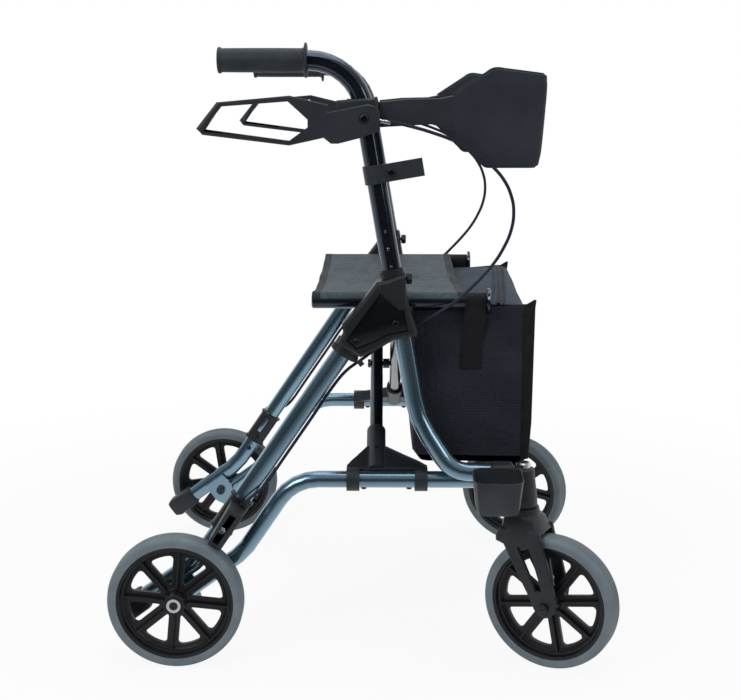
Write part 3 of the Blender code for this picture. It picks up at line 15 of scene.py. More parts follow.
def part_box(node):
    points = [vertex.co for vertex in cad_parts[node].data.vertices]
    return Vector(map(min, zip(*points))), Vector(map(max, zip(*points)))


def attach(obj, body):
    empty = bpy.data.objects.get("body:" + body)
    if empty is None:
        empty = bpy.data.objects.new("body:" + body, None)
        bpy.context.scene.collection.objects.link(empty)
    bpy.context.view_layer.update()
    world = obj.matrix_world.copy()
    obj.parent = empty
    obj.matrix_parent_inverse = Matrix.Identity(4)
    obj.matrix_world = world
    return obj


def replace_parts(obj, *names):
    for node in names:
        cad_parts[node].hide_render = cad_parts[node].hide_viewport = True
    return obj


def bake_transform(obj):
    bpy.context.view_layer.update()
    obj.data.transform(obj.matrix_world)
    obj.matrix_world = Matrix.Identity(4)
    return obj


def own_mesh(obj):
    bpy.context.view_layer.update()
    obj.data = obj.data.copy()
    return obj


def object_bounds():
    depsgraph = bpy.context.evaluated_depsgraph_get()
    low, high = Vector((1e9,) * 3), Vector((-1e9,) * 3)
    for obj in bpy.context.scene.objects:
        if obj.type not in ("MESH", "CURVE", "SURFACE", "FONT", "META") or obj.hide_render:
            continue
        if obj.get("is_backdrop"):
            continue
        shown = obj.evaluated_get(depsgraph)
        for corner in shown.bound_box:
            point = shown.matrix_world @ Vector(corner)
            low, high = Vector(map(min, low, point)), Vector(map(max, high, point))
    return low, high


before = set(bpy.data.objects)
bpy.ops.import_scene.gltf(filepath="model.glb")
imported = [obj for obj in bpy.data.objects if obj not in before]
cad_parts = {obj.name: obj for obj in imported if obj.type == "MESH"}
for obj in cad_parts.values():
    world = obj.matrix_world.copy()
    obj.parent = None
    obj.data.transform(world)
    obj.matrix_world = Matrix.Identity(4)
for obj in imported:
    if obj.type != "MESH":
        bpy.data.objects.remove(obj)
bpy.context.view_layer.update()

# %% [markdown]
# ## Places on the walker
# A designer gives places from the walker's own middle plane and not from the corner of
# a file. The rear wheels tell where that plane is, so every place below is read from
# them, in metres: x forward, y to the walker's left, z up.

# %% Places
REAR_AXLE_X = -0.303
SIDES = {"right": -1, "left": 1}


def centre(node):
    """The middle of a node's box."""
    low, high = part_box(node)
    return (low + high) / 2


between = (centre("rear_tyre_right") + centre("rear_tyre_left")) / 2
HOME = Vector((between.x - REAR_AXLE_X, between.y, 0))


def at(x, y, z):
    """A place given from the walker's middle plane, in the frame's coordinates."""
    return HOME + Vector((x, y, z))


print("middle of the walker:", [round(v, 4) for v in HOME])

# %% [markdown]
# ## The photographer's side of things
# The picture was taken from the walker's right, at chest height and a little downward,
# with a moderate lens. The camera comes first, because everything later is judged
# through it. It is set by real distances and angles, so it needs no fitting by eye.

# %% Camera
CAMERA_PLACE = (0.031, -2.0172, 0.8304)
CAMERA_DOWN = radians(11.53)
CAMERA_TURN = radians(0.55)
LENS = 61.1

bpy.ops.object.camera_add(location=CAMERA_PLACE, rotation=(pi / 2 - CAMERA_DOWN, 0, CAMERA_TURN))
camera = bpy.context.object
camera.name = "camera"
camera.data.lens = LENS
bpy.context.scene.camera = camera
print("camera", round(LENS), "mm, looking down", round(CAMERA_DOWN * 180 / pi, 1), "degrees")

# %% [markdown]
# ## Nodes in few words
# A material is a small network. One function adds a node, sets what it is told and
# links what it is given, so that each finish below reads as a short list of choices.

# %% Node helper and colours


def tone(code):
    """An sRGB hex colour as the linear values that shaders use."""
    parts = [int(code[i:i + 2], 16) / 255 for i in (0, 2, 4)]
    linear = [p / 12.92 if p <= 0.04045 else ((p + 0.055) / 1.055) ** 2.4 for p in parts]
    return (*linear, 1.0)


def add(tree, kind, inputs=None, **settings):
    """Add a node, set its settings, and fill or link its inputs."""
    made = tree.nodes.new("ShaderNode" + kind)
    for key, value in settings.items():
        setattr(made, key, value)
    for socket, value in (inputs or {}).items():
        if isinstance(value, bpy.types.NodeSocket):
            tree.links.new(value, made.inputs[socket])
        else:
            made.inputs[socket].default_value = value
    return made


def finish(name, roughness, metallic=0.0, **sockets):
    """A new material: its tree, its Principled shader and the object's coordinates."""
    made = bpy.data.materials.new(name)
    made.use_nodes = True
    tree = made.node_tree
    shader = tree.nodes["Principled BSDF"]
    shader.inputs["Roughness"].default_value = roughness
    shader.inputs["Metallic"].default_value = metallic
    for key, value in sockets.items():
        shader.inputs[key.replace("_", " ")].default_value = value
    return made, tree, shader, add(tree, "TexCoord").outputs["Object"]


def vary(tree, shader, coords, dark, light, scale, detail=3.0):
    """Let the base colour drift between two tones over a distance of 1 / scale metres."""
    cloud = add(tree, "TexNoise", {"Vector": coords, "Scale": scale, "Detail": detail})
    ramp = add(tree, "ValToRGB", {"Fac": cloud.outputs["Fac"]})
    for stop, place, code in zip(ramp.color_ramp.elements, (0.35, 0.65), (dark, light)):
        stop.position = place
        stop.color = tone(code)
    tree.links.new(ramp.outputs["Color"], shader.inputs["Base Color"])


print("materials can be started")

# %% Relief and reckoning


def relief(tree, shader, height, depth, strength=1.0, under=None):
    """Raise the surface by a height pattern, whose full step is depth metres."""
    inputs = {"Height": height, "Distance": depth, "Strength": strength}
    if under:
        inputs["Normal"] = under
    bump = add(tree, "Bump", inputs)
    tree.links.new(bump.outputs["Normal"], shader.inputs["Normal"])
    return bump.outputs["Normal"]


def grain(tree, shader, coords, scale, depth, strength, detail=2.0):
    """Raise the surface by a fine noise."""
    noise = add(tree, "TexNoise", {"Vector": coords, "Scale": scale, "Detail": detail})
    relief(tree, shader, noise.outputs["Fac"], depth, strength)


def stretched(tree, coords, scales):
    """The coordinates with a scale of their own on each axis."""
    return add(tree, "Mapping", {"Vector": coords, "Scale": scales}).outputs["Vector"]


def reckon(tree, operation, first, second=0.0):
    """One step of arithmetic between two values."""
    return add(tree, "Math", {0: first, 1: second}, operation=operation).outputs["Value"]


def eased(tree, value, start, end, low=0.0, high=1.0):
    """A value taken smoothly from low at the start to high at the end."""
    inputs = {"Value": value, "From Min": start, "From Max": end, "To Min": low, "To Max": high}
    return add(tree, "MapRange", inputs, interpolation_type="SMOOTHSTEP").outputs["Result"]


print("surfaces can be raised")

# %% [markdown]
# ## Painted aluminium
# The side frames are bent aluminium tube under a metallic lacquer: aluminium flakes in
# a blue-grey binder, then a clear coat. So the base is partly metal, the flakes give
# it a fine sparkle, and the coat gives the hard highlight that runs along each tube.

# %% Blue metallic lacquer
FLAKE = 0.0006
lacquer, tree, shader, coords = finish("blue_metallic_lacquer", 0.19, 0.88,
                                       Coat_Weight=0.35, Coat_Roughness=0.10)
vary(tree, shader, coords, "6d8b9e", "7c9aac", 9.0)
flakes = add(tree, "TexVoronoi", {"Vector": coords, "Scale": 1 / FLAKE})
relief(tree, shader, flakes.outputs["Distance"], 0.00002, 0.012)
print(lacquer.name)

# %% [markdown]
# ## Gloss black tube
# The handle posts, the braces and the seat rails are black anodised and polished. The
# colour is almost nothing, and what the eye reads is the reflection, broken a little
# by polishing lines along the tube.

# %% Black gloss anodising
gloss_black, tree, shader, coords = finish("black_gloss_anodising", 0.16, 0.9)
vary(tree, shader, coords, "3b424d", "474e5a", 14.0)
grain(tree, shader, stretched(tree, coords, (900, 900, 25)), 1.0, 0.00002, 0.08)
print(gloss_black.name)

# %% [markdown]
# ## Moulded plastics
# The hubs, levers, forks and clips are glass-filled nylon. The mould is spark-eroded,
# which leaves a fine grain and a soft sheen. The grain is about 0.3 mm on the real
# part, and it is drawn at 0.9 mm here so that it shows at this size.

# %% Glass-filled nylon, six shades
GRAIN = 0.0009


def nylon(name, dark, light, roughness, grain_depth=0.00006, shine=0.35):
    """A spark-eroded nylon in one shade."""
    made, tree, shader, coords = finish(name, roughness, Specular_IOR_Level=shine)
    vary(tree, shader, coords, dark, light, 22.0)
    grain(tree, shader, coords, 1 / GRAIN, grain_depth, 0.5)
    return made


lever_nylon = nylon("moulded_nylon", "252a30", "2c3238", 0.46)
hub_nylon = nylon("moulded_nylon_dark", "1d2025", "24272d", 0.40)
fork_nylon = nylon("moulded_nylon_grey", "22272c", "2b3136", 0.48)
cup_nylon = nylon("moulded_nylon_pale", "2c3136", "343a40", 0.50)
wheel_nylon = nylon("moulded_nylon_wheel", "131419", "191a20", 0.42)
panel_nylon = nylon("moulded_nylon_polished", "0d0f13", "121419", 0.16, 0.00002, 0.5)
print("six nylons, grain every", GRAIN * 1000, "mm")

# %% [markdown]
# ## Wheels on the road
# The tyres are cast polyurethane foam in a blue-grey, matt and slightly dusty, with a
# skin that has a very fine pore.

# %% Cast polyurethane
tyre_foam, tree, shader, coords = finish("cast_polyurethane", 0.62)
vary(tree, shader, coords, "66727a", "727f87", 30.0)
grain(tree, shader, coords, 700.0, 0.00008, 0.6, 4.0)
print(tyre_foam.name)

# %% [markdown]
# ## Bright and dark steel
# Screws and axles are zinc plated, some passivated black. Plating is metal all over,
# with a roughness that wanders where it was handled.

# %% Plated steel


def plated(name, colour, roughness):
    """Plated steel, with a faint cloud of handling in its roughness."""
    made, tree, shader, coords = finish(name, roughness, 1.0)
    shader.inputs["Base Color"].default_value = tone(colour)
    cloud = add(tree, "TexNoise", {"Vector": coords, "Scale": 160.0})
    span = add(tree, "MapRange", {"Value": cloud.outputs["Fac"], "To Min": roughness - 0.08,
                                  "To Max": roughness + 0.12})
    tree.links.new(span.outputs["Result"], shader.inputs["Roughness"])
    return made


bright_zinc = plated("bright_zinc_plating", "c9ced2", 0.22)
black_zinc = plated("black_zinc_plating", "3c3f45", 0.34)
print(bright_zinc.name, black_zinc.name)

# %% [markdown]
# ## Rubber and vinyl
# The grips are soft thermoplastic rubber with a slight bloom, the cable sleeve is
# extruded vinyl, smoother and a little blue.

# %% Grip rubber and cable sleeve
grip_rubber, tree, shader, coords = finish("thermoplastic_rubber", 0.55,
                                           Specular_IOR_Level=0.25)
vary(tree, shader, coords, "282e35", "30373e", 40.0)
grain(tree, shader, coords, 900.0, 0.00006, 0.6)

sleeve_vinyl, tree, shader, coords = finish("extruded_vinyl", 0.42, Specular_IOR_Level=0.3)
vary(tree, shader, coords, "1a1c2e", "22253a", 60.0)
print(grip_rubber.name, sleeve_vinyl.name)

# %% [markdown]
# ## Woven goods
# Each cloth is a plain weave of two sets of threads that cross. Two wave patterns, one
# for each set, give its height, and a third is added so that the material also serves
# panels that face another way. Real threads here are 0.4 to 0.6 mm apart, and they are
# drawn at 1.6 to 4.2 mm so that they show. Where a cloth has been folded or sat on,
# narrow valleys run through it, which are the places where a slow noise is near half.

# %% Weave
FOLD_SCALE = 24.0
FOLD_WIDTH = 0.07


def period(metres):
    """The scale at which a Wave texture repeats after this distance."""
    return pi / 10 / metres


def woven(name, dark, light, roughness, spacing, depth, mottle=18.0, wrinkle=0.0):
    """A plain weave in one shade, its threads this far apart, with wrinkles this deep."""
    made, tree, shader, coords = finish(name, roughness, Sheen_Weight=0.06,
                                        Sheen_Roughness=0.5, Specular_IOR_Level=0.2)
    vary(tree, shader, coords, dark, light, mottle, 5.0)
    height = 0.0
    for axis in "XYZ":
        wave = add(tree, "TexWave", {"Vector": coords, "Scale": period(spacing),
                                     "Distortion": 0.6, "Detail": 1.0, "Detail Scale": 3.0},
                   bands_direction=axis)
        height = reckon(tree, "ADD", height, wave.outputs["Fac"])
    under = None
    if wrinkle:
        folds = add(tree, "TexNoise", {"Vector": coords, "Scale": FOLD_SCALE, "Detail": 1.5,
                                       "Distortion": 0.8})
        off = reckon(tree, "ABSOLUTE", reckon(tree, "SUBTRACT", folds.outputs["Fac"], 0.5))
        under = relief(tree, shader, eased(tree, off, 0.0, FOLD_WIDTH), wrinkle)
    relief(tree, shader, height, depth, 0.6, under)
    return made


seat_nylon = woven("coated_seat_nylon", "37464e", "41515b", 0.58, 0.0022, 0.00040, 12.0, 0.0012)
seat_tape = woven("woven_edge_tape", "1f252a", "282f34", 0.70, 0.0016, 0.0001, 40.0)
bag_polyester = woven("bag_polyester", "1a1e29", "232832", 0.70, 0.0042, 0.00080, 16.0, 0.0008)
lid_polyester = woven("lid_polyester", "2b3947", "374553", 0.72, 0.0024, 0.00030, 18.0)
webbing = woven("polypropylene_webbing", "101116", "17181e", 0.66, 0.0020, 0.0002, 60.0)
print(seat_nylon.name, bag_polyester.name, lid_polyester.name)

# %% [markdown]
# ## The belt's cover
# The back belt is foam between two knitted faces. The knit runs up and down, which
# draws fine upright lines, so its noise is stretched along z.

# %% Knitted laminate
belt_knit, tree, shader, coords = finish("knitted_foam_laminate", 0.80, Sheen_Weight=0.06,
                                         Sheen_Roughness=0.5, Specular_IOR_Level=0.2)
vary(tree, shader, coords, "272b34", "2f333c", 14.0)
grain(tree, shader, stretched(tree, coords, (420, 420, 16)), 1.0, 0.0002, 0.5)
print(belt_knit.name)

# %% [markdown]
# ## Finishing the frame's own pieces
# A node from the frame comes as loose, flat triangles. Live modifiers finish it without
# touching its shape: Weld joins the triangles, then Bevel breaks the edges of moulded
# pieces as a mould does, and on metal a split at sharp edges lets the rest shade round.

# %% Dress the frame
LOOKS = [
    (lacquer, "lower_rail front_leg rear_leg axle_carrier"),
    (gloss_black, "handle_post brace_a_tube brace_b_tube seat_rail"),
    (hub_nylon, "hub rear_sleeve"),
    (lever_nylon, "kerb_pedal brake_shoe lever_bracket brake_lever backrest_arm cane_clip"),
    (lever_nylon, "brace_a_foot brace_b_foot"),
    (fork_nylon, "caster_housing caster_fork"),
    (cup_nylon, "cane_cup"),
    (wheel_nylon, "height_knob"),
    (bright_zinc, "rear_axle stem_bolt"),
    (black_zinc, "front_axle cross_bolt"),
]
MOULDED = (hub_nylon, lever_nylon, fork_nylon, cup_nylon)
WELD = 0.00001
SPLIT = radians(34)
EDGE = 0.0007

look_of = {kind: look for look, kinds in LOOKS for kind in kinds.split()}
dressed = 0
for name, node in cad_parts.items():
    look = look_of.get(name.removesuffix("_right").removesuffix("_left"))
    if look is None:
        continue
    dressed += 1
    node.data.materials.clear()
    node.data.materials.append(look)
    node.data.attributes.remove(node.data.attributes["custom_normal"])
    node.data.shade_smooth()
    weld = node.modifiers.new("weld", "WELD")
    weld.merge_threshold = WELD
    if look in MOULDED:
        soft = node.modifiers.new("mould edge", "BEVEL")
        soft.width = EDGE
        soft.segments = 2
        soft.angle_limit = SPLIT
        soft.harden_normals = True
    else:
        split = node.modifiers.new("split", "EDGE_SPLIT")
        split.split_angle = SPLIT
print("dressed", dressed, "nodes")

# %% [markdown]
# ## Working by hand, in code
# The new pieces are modelled as on the bench: start a shape, select faces or edges by
# where they are, and pull. These few helpers keep each later cell short.

# %% Picking and choosing


def pick(obj):
    """Make one object the only one selected, and active."""
    bpy.ops.object.select_all(action="DESELECT")
    obj.select_set(True)
    bpy.context.view_layer.objects.active = obj


def settle(obj, name):
    """Name a piece and move its place into its mesh."""
    pick(obj)
    obj.name = name
    obj.data.name = name
    bpy.ops.object.transform_apply(location=True, rotation=True, scale=True)
    return obj


def choose(obj, kind, test):
    """Enter edit mode with only the faces, edges or vertices that pass the test."""
    pick(obj)
    bpy.ops.object.mode_set(mode="EDIT")
    bpy.ops.mesh.select_mode(type=kind)
    bpy.ops.mesh.select_all(action="DESELECT")
    bpy.ops.object.mode_set(mode="OBJECT")
    mesh = obj.data
    for face in mesh.polygons if kind == "FACE" else ():
        face.select = test(face.center, face.normal)
    for edge in mesh.edges if kind == "EDGE" else ():
        first, second = (mesh.vertices[i].co for i in edge.vertices)
        edge.select = test((first + second) / 2, (second - first).normalized())
    for vertex in mesh.vertices if kind == "VERT" else ():
        vertex.select = test(vertex.co, vertex.normal)
    bpy.ops.object.mode_set(mode="EDIT")


def leave():
    """Leave edit mode."""
    bpy.ops.object.mode_set(mode="OBJECT")


print("pieces can be picked")

# %% Modifiers and shading
MERGE = 1e-6


def modify(obj, kind, **settings):
    """Add a modifier with its settings, and apply it."""
    pick(obj)
    made = obj.modifiers.new("step", kind)
    for key, value in settings.items():
        setattr(made, key, value)
    bpy.ops.object.modifier_apply(modifier=made.name)
    return obj


def ease(obj, width, segments=2, degrees=50):
    """Round every edge that is sharper than this."""
    return modify(obj, "BEVEL", width=width, segments=segments, limit_method="ANGLE",
                  angle_limit=radians(degrees))


def smooth(obj, degrees):
    """Shade round, with a crease where faces meet at more than this."""
    pick(obj)
    bpy.ops.object.shade_smooth_by_angle(angle=radians(degrees))
    return obj


def cut(obj, tool):
    """Take one object's shape out of another."""
    modify(obj, "BOOLEAN", operation="DIFFERENCE", solver="EXACT", object=tool)
    bpy.data.objects.remove(tool)
    return obj


def tidy(obj):
    """Merge doubles and point all faces outwards."""
    choose(obj, "VERT", lambda place, normal: True)
    bpy.ops.mesh.remove_doubles(threshold=MERGE)
    bpy.ops.mesh.normals_make_consistent(inside=False)
    leave()
    return obj


print("pieces can be shaped")

# %% Copies and their dress


def copied(obj, name, matrix):
    """A copy with its own mesh, moved by a matrix. A mirrored one is turned right side out."""
    twin = obj.copy()
    twin.data = obj.data.copy()
    twin.name = name
    twin.data.name = name
    bpy.context.scene.collection.objects.link(twin)
    twin.data.transform(matrix)
    if matrix.to_3x3().determinant() < 0:
        twin.data.flip_normals()
    return twin


def dress(obj, look, body):
    """Give a piece its material and the body that it moves with."""
    obj.data.materials.clear()
    obj.data.materials.append(look)
    if body:
        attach(obj, body)
    return obj


def across(side):
    """The matrix that takes a right side's piece to this side."""
    if side == "right":
        return Matrix.Identity(4)
    there = Matrix.Translation((0, 2 * HOME.y, 0))
    return there @ Matrix.Scale(-1, 4, (0, 1, 0))


def pair(piece, name):
    """A copy of a right side's piece for each side. The first one is removed."""
    twins = {side: copied(piece, f"{name}_{side}", across(side)) for side in SIDES}
    bpy.data.objects.remove(piece)
    return twins


def dress_pair(piece, name, look, body):
    """Copy a right side's piece to both sides, and dress each copy for its side's body."""
    for side, twin in pair(piece, name).items():
        dress(twin, look, f"{body}_{side}")


print("pieces can be copied and dressed")

# %% [markdown]
# ## Drawing and turning a profile
# A wheel or a grip is a turned thing: draw half its section, then turn it about the
# axis. One vertex is extruded from point to point to draw the section, and Spin turns
# it. That is quicker to change than a cylinder with many loops.

# %% Profile tools


def drawn(points):
    """A line drawn by extruding one vertex from each point to the next."""
    bpy.ops.mesh.primitive_plane_add(size=0.001, location=(0, 0, 0))
    obj = bpy.context.object
    bpy.ops.object.mode_set(mode="EDIT")
    bpy.ops.mesh.select_mode(type="VERT")
    bpy.ops.mesh.select_all(action="SELECT")
    bpy.ops.mesh.merge(type="CENTER")
    points = [Vector(p) for p in points]
    bpy.ops.transform.translate(value=points[0])
    for before, after in zip(points, points[1:]):
        bpy.ops.mesh.extrude_region_move(TRANSFORM_OT_translate={"value": after - before})
    leave()
    return obj


def turned(profile, steps=96):
    """A profile of (along the axis, radius) points, turned about z."""
    obj = drawn([(radius, 0, along) for along, radius in profile])
    bpy.ops.object.mode_set(mode="EDIT")
    bpy.ops.mesh.select_all(action="SELECT")
    bpy.ops.mesh.spin(steps=steps, angle=2 * pi, center=(0, 0, 0), axis=(0, 0, 1))
    leave()
    return tidy(obj)


def slab(points, low, high):
    """A flat outline of (x, y) points, filled and raised from low to high."""
    obj = drawn([(x, y, low) for x, y in [*points, points[0]]])
    tidy(obj)
    bpy.ops.object.mode_set(mode="EDIT")
    bpy.ops.mesh.select_all(action="SELECT")
    bpy.ops.mesh.edge_face_add()
    bpy.ops.mesh.extrude_region_move(TRANSFORM_OT_translate={"value": (0, 0, high - low)})
    leave()
    return tidy(obj)


def facing(place, axis):
    """The matrix that stands a piece modelled along z on a place, along an axis."""
    return Matrix.Translation(place) @ Vector((0, 0, 1)).rotation_difference(axis).to_matrix().to_4x4()


print("profiles can be turned and filled")

# %% [markdown]
# ## Tyres
# The tyre is cast round the rim. Its tread is almost flat, with fine grooves all the
# way round, and its walls bulge a little. The section is an arc for each shoulder with
# small notches between, so the ring catches light as the real one does.

# %% Tyre
TYRE_RADIUS = 0.100
TYRE_HALF = 0.018
RIM_RADIUS = 0.086
TREAD_HALF = 0.0105
WALL_FOOT, WALL_TOP = RIM_RADIUS + 0.0065, TYRE_RADIUS - 0.0006
BEAD_HALF = TYRE_HALF - 0.0012
GROOVES = (-0.0075, -0.0025, 0.0025, 0.0075)
GROOVE = [(-0.0009, 0.0), (-0.0004, 0.0011), (0.0004, 0.0011), (0.0009, 0.0)]
SHOULDER_STEPS = 7
WALL_FULL = 0.8


def tyre_profile():
    """The tyre's section: up one wall, across the tread and down the other."""
    wall = [(-BEAD_HALF, RIM_RADIUS)]
    for i in range(SHOULDER_STEPS + 1):
        turn = pi / 2 * i / SHOULDER_STEPS
        wall.append((-TREAD_HALF - (TYRE_HALF - TREAD_HALF) * cos(turn) ** WALL_FULL,
                     WALL_FOOT + (WALL_TOP - WALL_FOOT) * sin(turn)))
    tread = [(place + along, TYRE_RADIUS - deep) for place in GROOVES for along, deep in GROOVE]
    other = [(-along, radius) for along, radius in reversed(wall)]
    return wall + tread + other + [wall[0]]


tyre = turned(tyre_profile(), 112)
smooth(tyre, 50)
print("tyre with", len(tyre.data.polygons), "faces")

# %% [markdown]
# ## Rims
# A rim is one moulding: a barrel that holds the tyre, a thin web, eight ribs and a
# hub. The web is pierced between the ribs by rounded triangles. The barrel and web are
# turned, one rounded window is drawn and copied round as a cutter, and the ribs are
# thin blades joined on. A step inside the barrel is what catches the light as a ring.

# %% Rim's section
SPOKES = 8
SPOKE_HALF = 0.0084
WINDOW_OUT = 0.0720
WINDOW_BOW = 0.0030
WINDOW_ROUND = 0.0062
CUTTER_HALF, CORNER_NEAR = 0.02, 0.0005
WEB_HALF = 0.003
RIB_HALF_THICK = 0.0013
RIB_HALF_DEEP = 0.0088
RIB_SINK, RIB_REACH = 0.003, 0.006
RIB_ROUND = 0.0006
RIM_HALF = 0.0155
HUB_RADIUS = 0.0165
REAR_HUB_HALF, REAR_BORE = 0.022, 0.0063
FRONT_HUB_HALF, FRONT_BORE = 0.0234, 0.0043


def rim_profile(hub_half, bore):
    """The section of barrel, web and hub, which is the same on both faces."""
    face = [(-RIM_HALF, RIM_RADIUS + 0.0010), (-RIM_HALF + 0.0006, RIM_RADIUS - 0.0044),
            (-RIM_HALF + 0.0030, RIM_RADIUS - 0.0050), (-0.0090, RIM_RADIUS - 0.0064),
            (-0.0085, RIM_RADIUS - 0.0095), (-0.0062, RIM_RADIUS - 0.0100),
            (-0.0045, RIM_RADIUS - 0.0118), (-WEB_HALF, RIM_RADIUS - 0.0130),
            (-WEB_HALF, HUB_RADIUS + 0.0060), (-WEB_HALF - 0.0025, HUB_RADIUS + 0.0010),
            (-hub_half + 0.0012, HUB_RADIUS - 0.0008), (-hub_half, HUB_RADIUS - 0.0020),
            (-hub_half, bore)]
    return face + [(-along, radius) for along, radius in reversed(face)] + [face[0]]


print("rim's section has", len(rim_profile(REAR_HUB_HALF, REAR_BORE)), "points")

# %% Windows and ribs


def window():
    """A rounded triangle between two ribs, standing through the web."""
    gap = pi / SPOKES
    tip = SPOKE_HALF / sin(gap)
    out = WINDOW_OUT * cos(gap)
    reach = (out - tip) * tan(gap)
    arc = [(out + WINDOW_BOW * (1 - (t / 3) ** 2), reach * t / 3) for t in range(-3, 4)]
    made = slab([(tip, 0), *arc], -CUTTER_HALF, CUTTER_HALF)
    for corner in ((tip, 0), (out, reach), (out, -reach)):
        choose(made, "EDGE", lambda middle, way: abs(way.z) > 0.9
               and (middle.xy - Vector(corner)).length < CORNER_NEAR)
        bpy.ops.mesh.bevel(offset=WINDOW_ROUND, segments=5, affect="EDGES")
        leave()
    made.data.transform(Matrix.Rotation(gap, 4, "Z"))
    return made


def rib():
    """A thin blade that is sunk a little into the hub and the barrel."""
    low, high = HUB_RADIUS - RIB_SINK, RIM_RADIUS - RIB_REACH
    bpy.ops.mesh.primitive_cube_add(size=1.0, location=(0, 0, 0))
    blade = bpy.context.object
    blade.data.transform(Matrix.Diagonal((high - low, 2 * RIB_HALF_THICK, 2 * RIB_HALF_DEEP, 1)))
    blade.data.transform(Matrix.Translation(((high + low) / 2, 0, 0)))
    choose(blade, "EDGE", lambda middle, way: abs(way.x) > 0.9)
    bpy.ops.mesh.bevel(offset=RIB_ROUND, segments=2, affect="EDGES")
    leave()
    return blade


def round_the_axle(piece):
    """Eight copies of a piece, evenly about the z axis. The first one is removed."""
    turns = [Matrix.Rotation(2 * pi / SPOKES * i, 4, "Z") for i in range(SPOKES)]
    ring = [copied(piece, "spoke", turn) for turn in turns]
    bpy.data.objects.remove(piece)
    return ring


print(SPOKES, "windows and", SPOKES, "ribs to a rim")

# %% Rims


def rim(hub_half, bore):
    """One rim about the z axis."""
    body = turned(rim_profile(hub_half, bore), 96)
    for cutter in round_the_axle(window()):
        cut(body, cutter)
    for blade in round_the_axle(rib()):
        modify(body, "BOOLEAN", operation="UNION", solver="EXACT", object=blade)
        bpy.data.objects.remove(blade)
    return smooth(body, 30)


rear_rim = rim(REAR_HUB_HALF, REAR_BORE)
front_rim = rim(FRONT_HUB_HALF, FRONT_BORE)
print("rim with", len(rear_rim.data.polygons), "faces")

# %% [markdown]
# ## Wheels in their places
# Each wheel is copied to the middle of the tyre that it stands for. The casters have
# swung out a little, so their axles are turned. Every wheel stopped where it liked, so
# each has its own turn about its axle.

# %% Place the wheels
CASTER_YAW = radians(-27)
CASTER_AXLE = Matrix.Rotation(CASTER_YAW, 4, "Z") @ Vector((0, 1, 0))
PHASES = {"rear_right": 6, "front_right": 7, "rear_left": -8, "front_left": 23}

for side in SIDES:
    for end, spokes, axle in (("rear", rear_rim, Vector((0, 1, 0))), ("front", front_rim, CASTER_AXLE)):
        phase = Matrix.Rotation(radians(PHASES[f"{end}_{side}"]), 4, "Z")
        place = facing(centre(f"{end}_tyre_{side}"), axle) @ phase
        body = f"{end}_wheel_{side}"
        ring = dress(copied(tyre, f"tyre_{end}_{side}", place), tyre_foam, body)
        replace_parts(ring, f"{end}_tyre_{side}")
        wheel = dress(copied(spokes, f"rim_{end}_{side}", place), wheel_nylon, body)
        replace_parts(wheel, f"{end}_rim_{side}")
for spare in (tyre, rear_rim, front_rim):
    bpy.data.objects.remove(spare)
print("four wheels placed")

# %% [markdown]
# ## Grips
# A grip is a rubber tube pushed over the post, with a guard flange in front and a
# small lip behind. Fine rings all along it stop the hand from slipping.

# %% Grip
GRIP_RADIUS = 0.0164
GRIP_FRONT, GRIP_REAR = -0.1046, -0.2287
GRIP_BORE = 0.0118
GRIP_SWELL = 0.0003
RING_PITCH, RING_FLAT = 0.0026, 0.35
RING_DEPTH = 0.00022
RINGS_FROM, RINGS_TO = 0.0075, 0.0085
GRIP_UP = 0.8754
GRIP_Y = -0.249

profile = [(GRIP_FRONT, GRIP_BORE), (GRIP_FRONT, 0.0215), (GRIP_FRONT - 0.0006, 0.0234),
           (GRIP_FRONT - 0.0020, 0.0243), (GRIP_FRONT - 0.0036, 0.0234),
           (GRIP_FRONT - 0.0042, 0.0205), (GRIP_FRONT - 0.0050, GRIP_RADIUS + 0.0010)]
along = GRIP_FRONT - RINGS_FROM
while along > GRIP_REAR + RINGS_TO:
    swell = GRIP_SWELL * sin(pi * (along - GRIP_REAR) / (GRIP_FRONT - GRIP_REAR))
    profile += [(along, GRIP_RADIUS + swell), (along - RING_FLAT * RING_PITCH, GRIP_RADIUS + swell),
                (along - 0.5 * RING_PITCH, GRIP_RADIUS + swell - RING_DEPTH)]
    along -= RING_PITCH
profile += [(GRIP_REAR + 0.0055, GRIP_RADIUS), (GRIP_REAR + 0.0045, GRIP_RADIUS + 0.0014),
            (GRIP_REAR + 0.0015, GRIP_RADIUS + 0.0016), (GRIP_REAR + 0.0003, GRIP_RADIUS + 0.0002),
            (GRIP_REAR, GRIP_RADIUS - 0.0025), (GRIP_REAR + 0.0008, GRIP_RADIUS - 0.0060),
            (GRIP_REAR + 0.0008, 0.0)]
grip = turned([(x - GRIP_REAR, r) for x, r in profile], 64)
smooth(grip, 60)
grip.data.transform(facing(at(GRIP_REAR, GRIP_Y, GRIP_UP), Vector((1, 0, 0))))
for side, piece in pair(grip, "grip_rubber").items():
    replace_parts(dress(piece, grip_rubber, f"post_{side}"), f"grip_{side}")
print("grips, rings every", RING_PITCH * 1000, "mm")
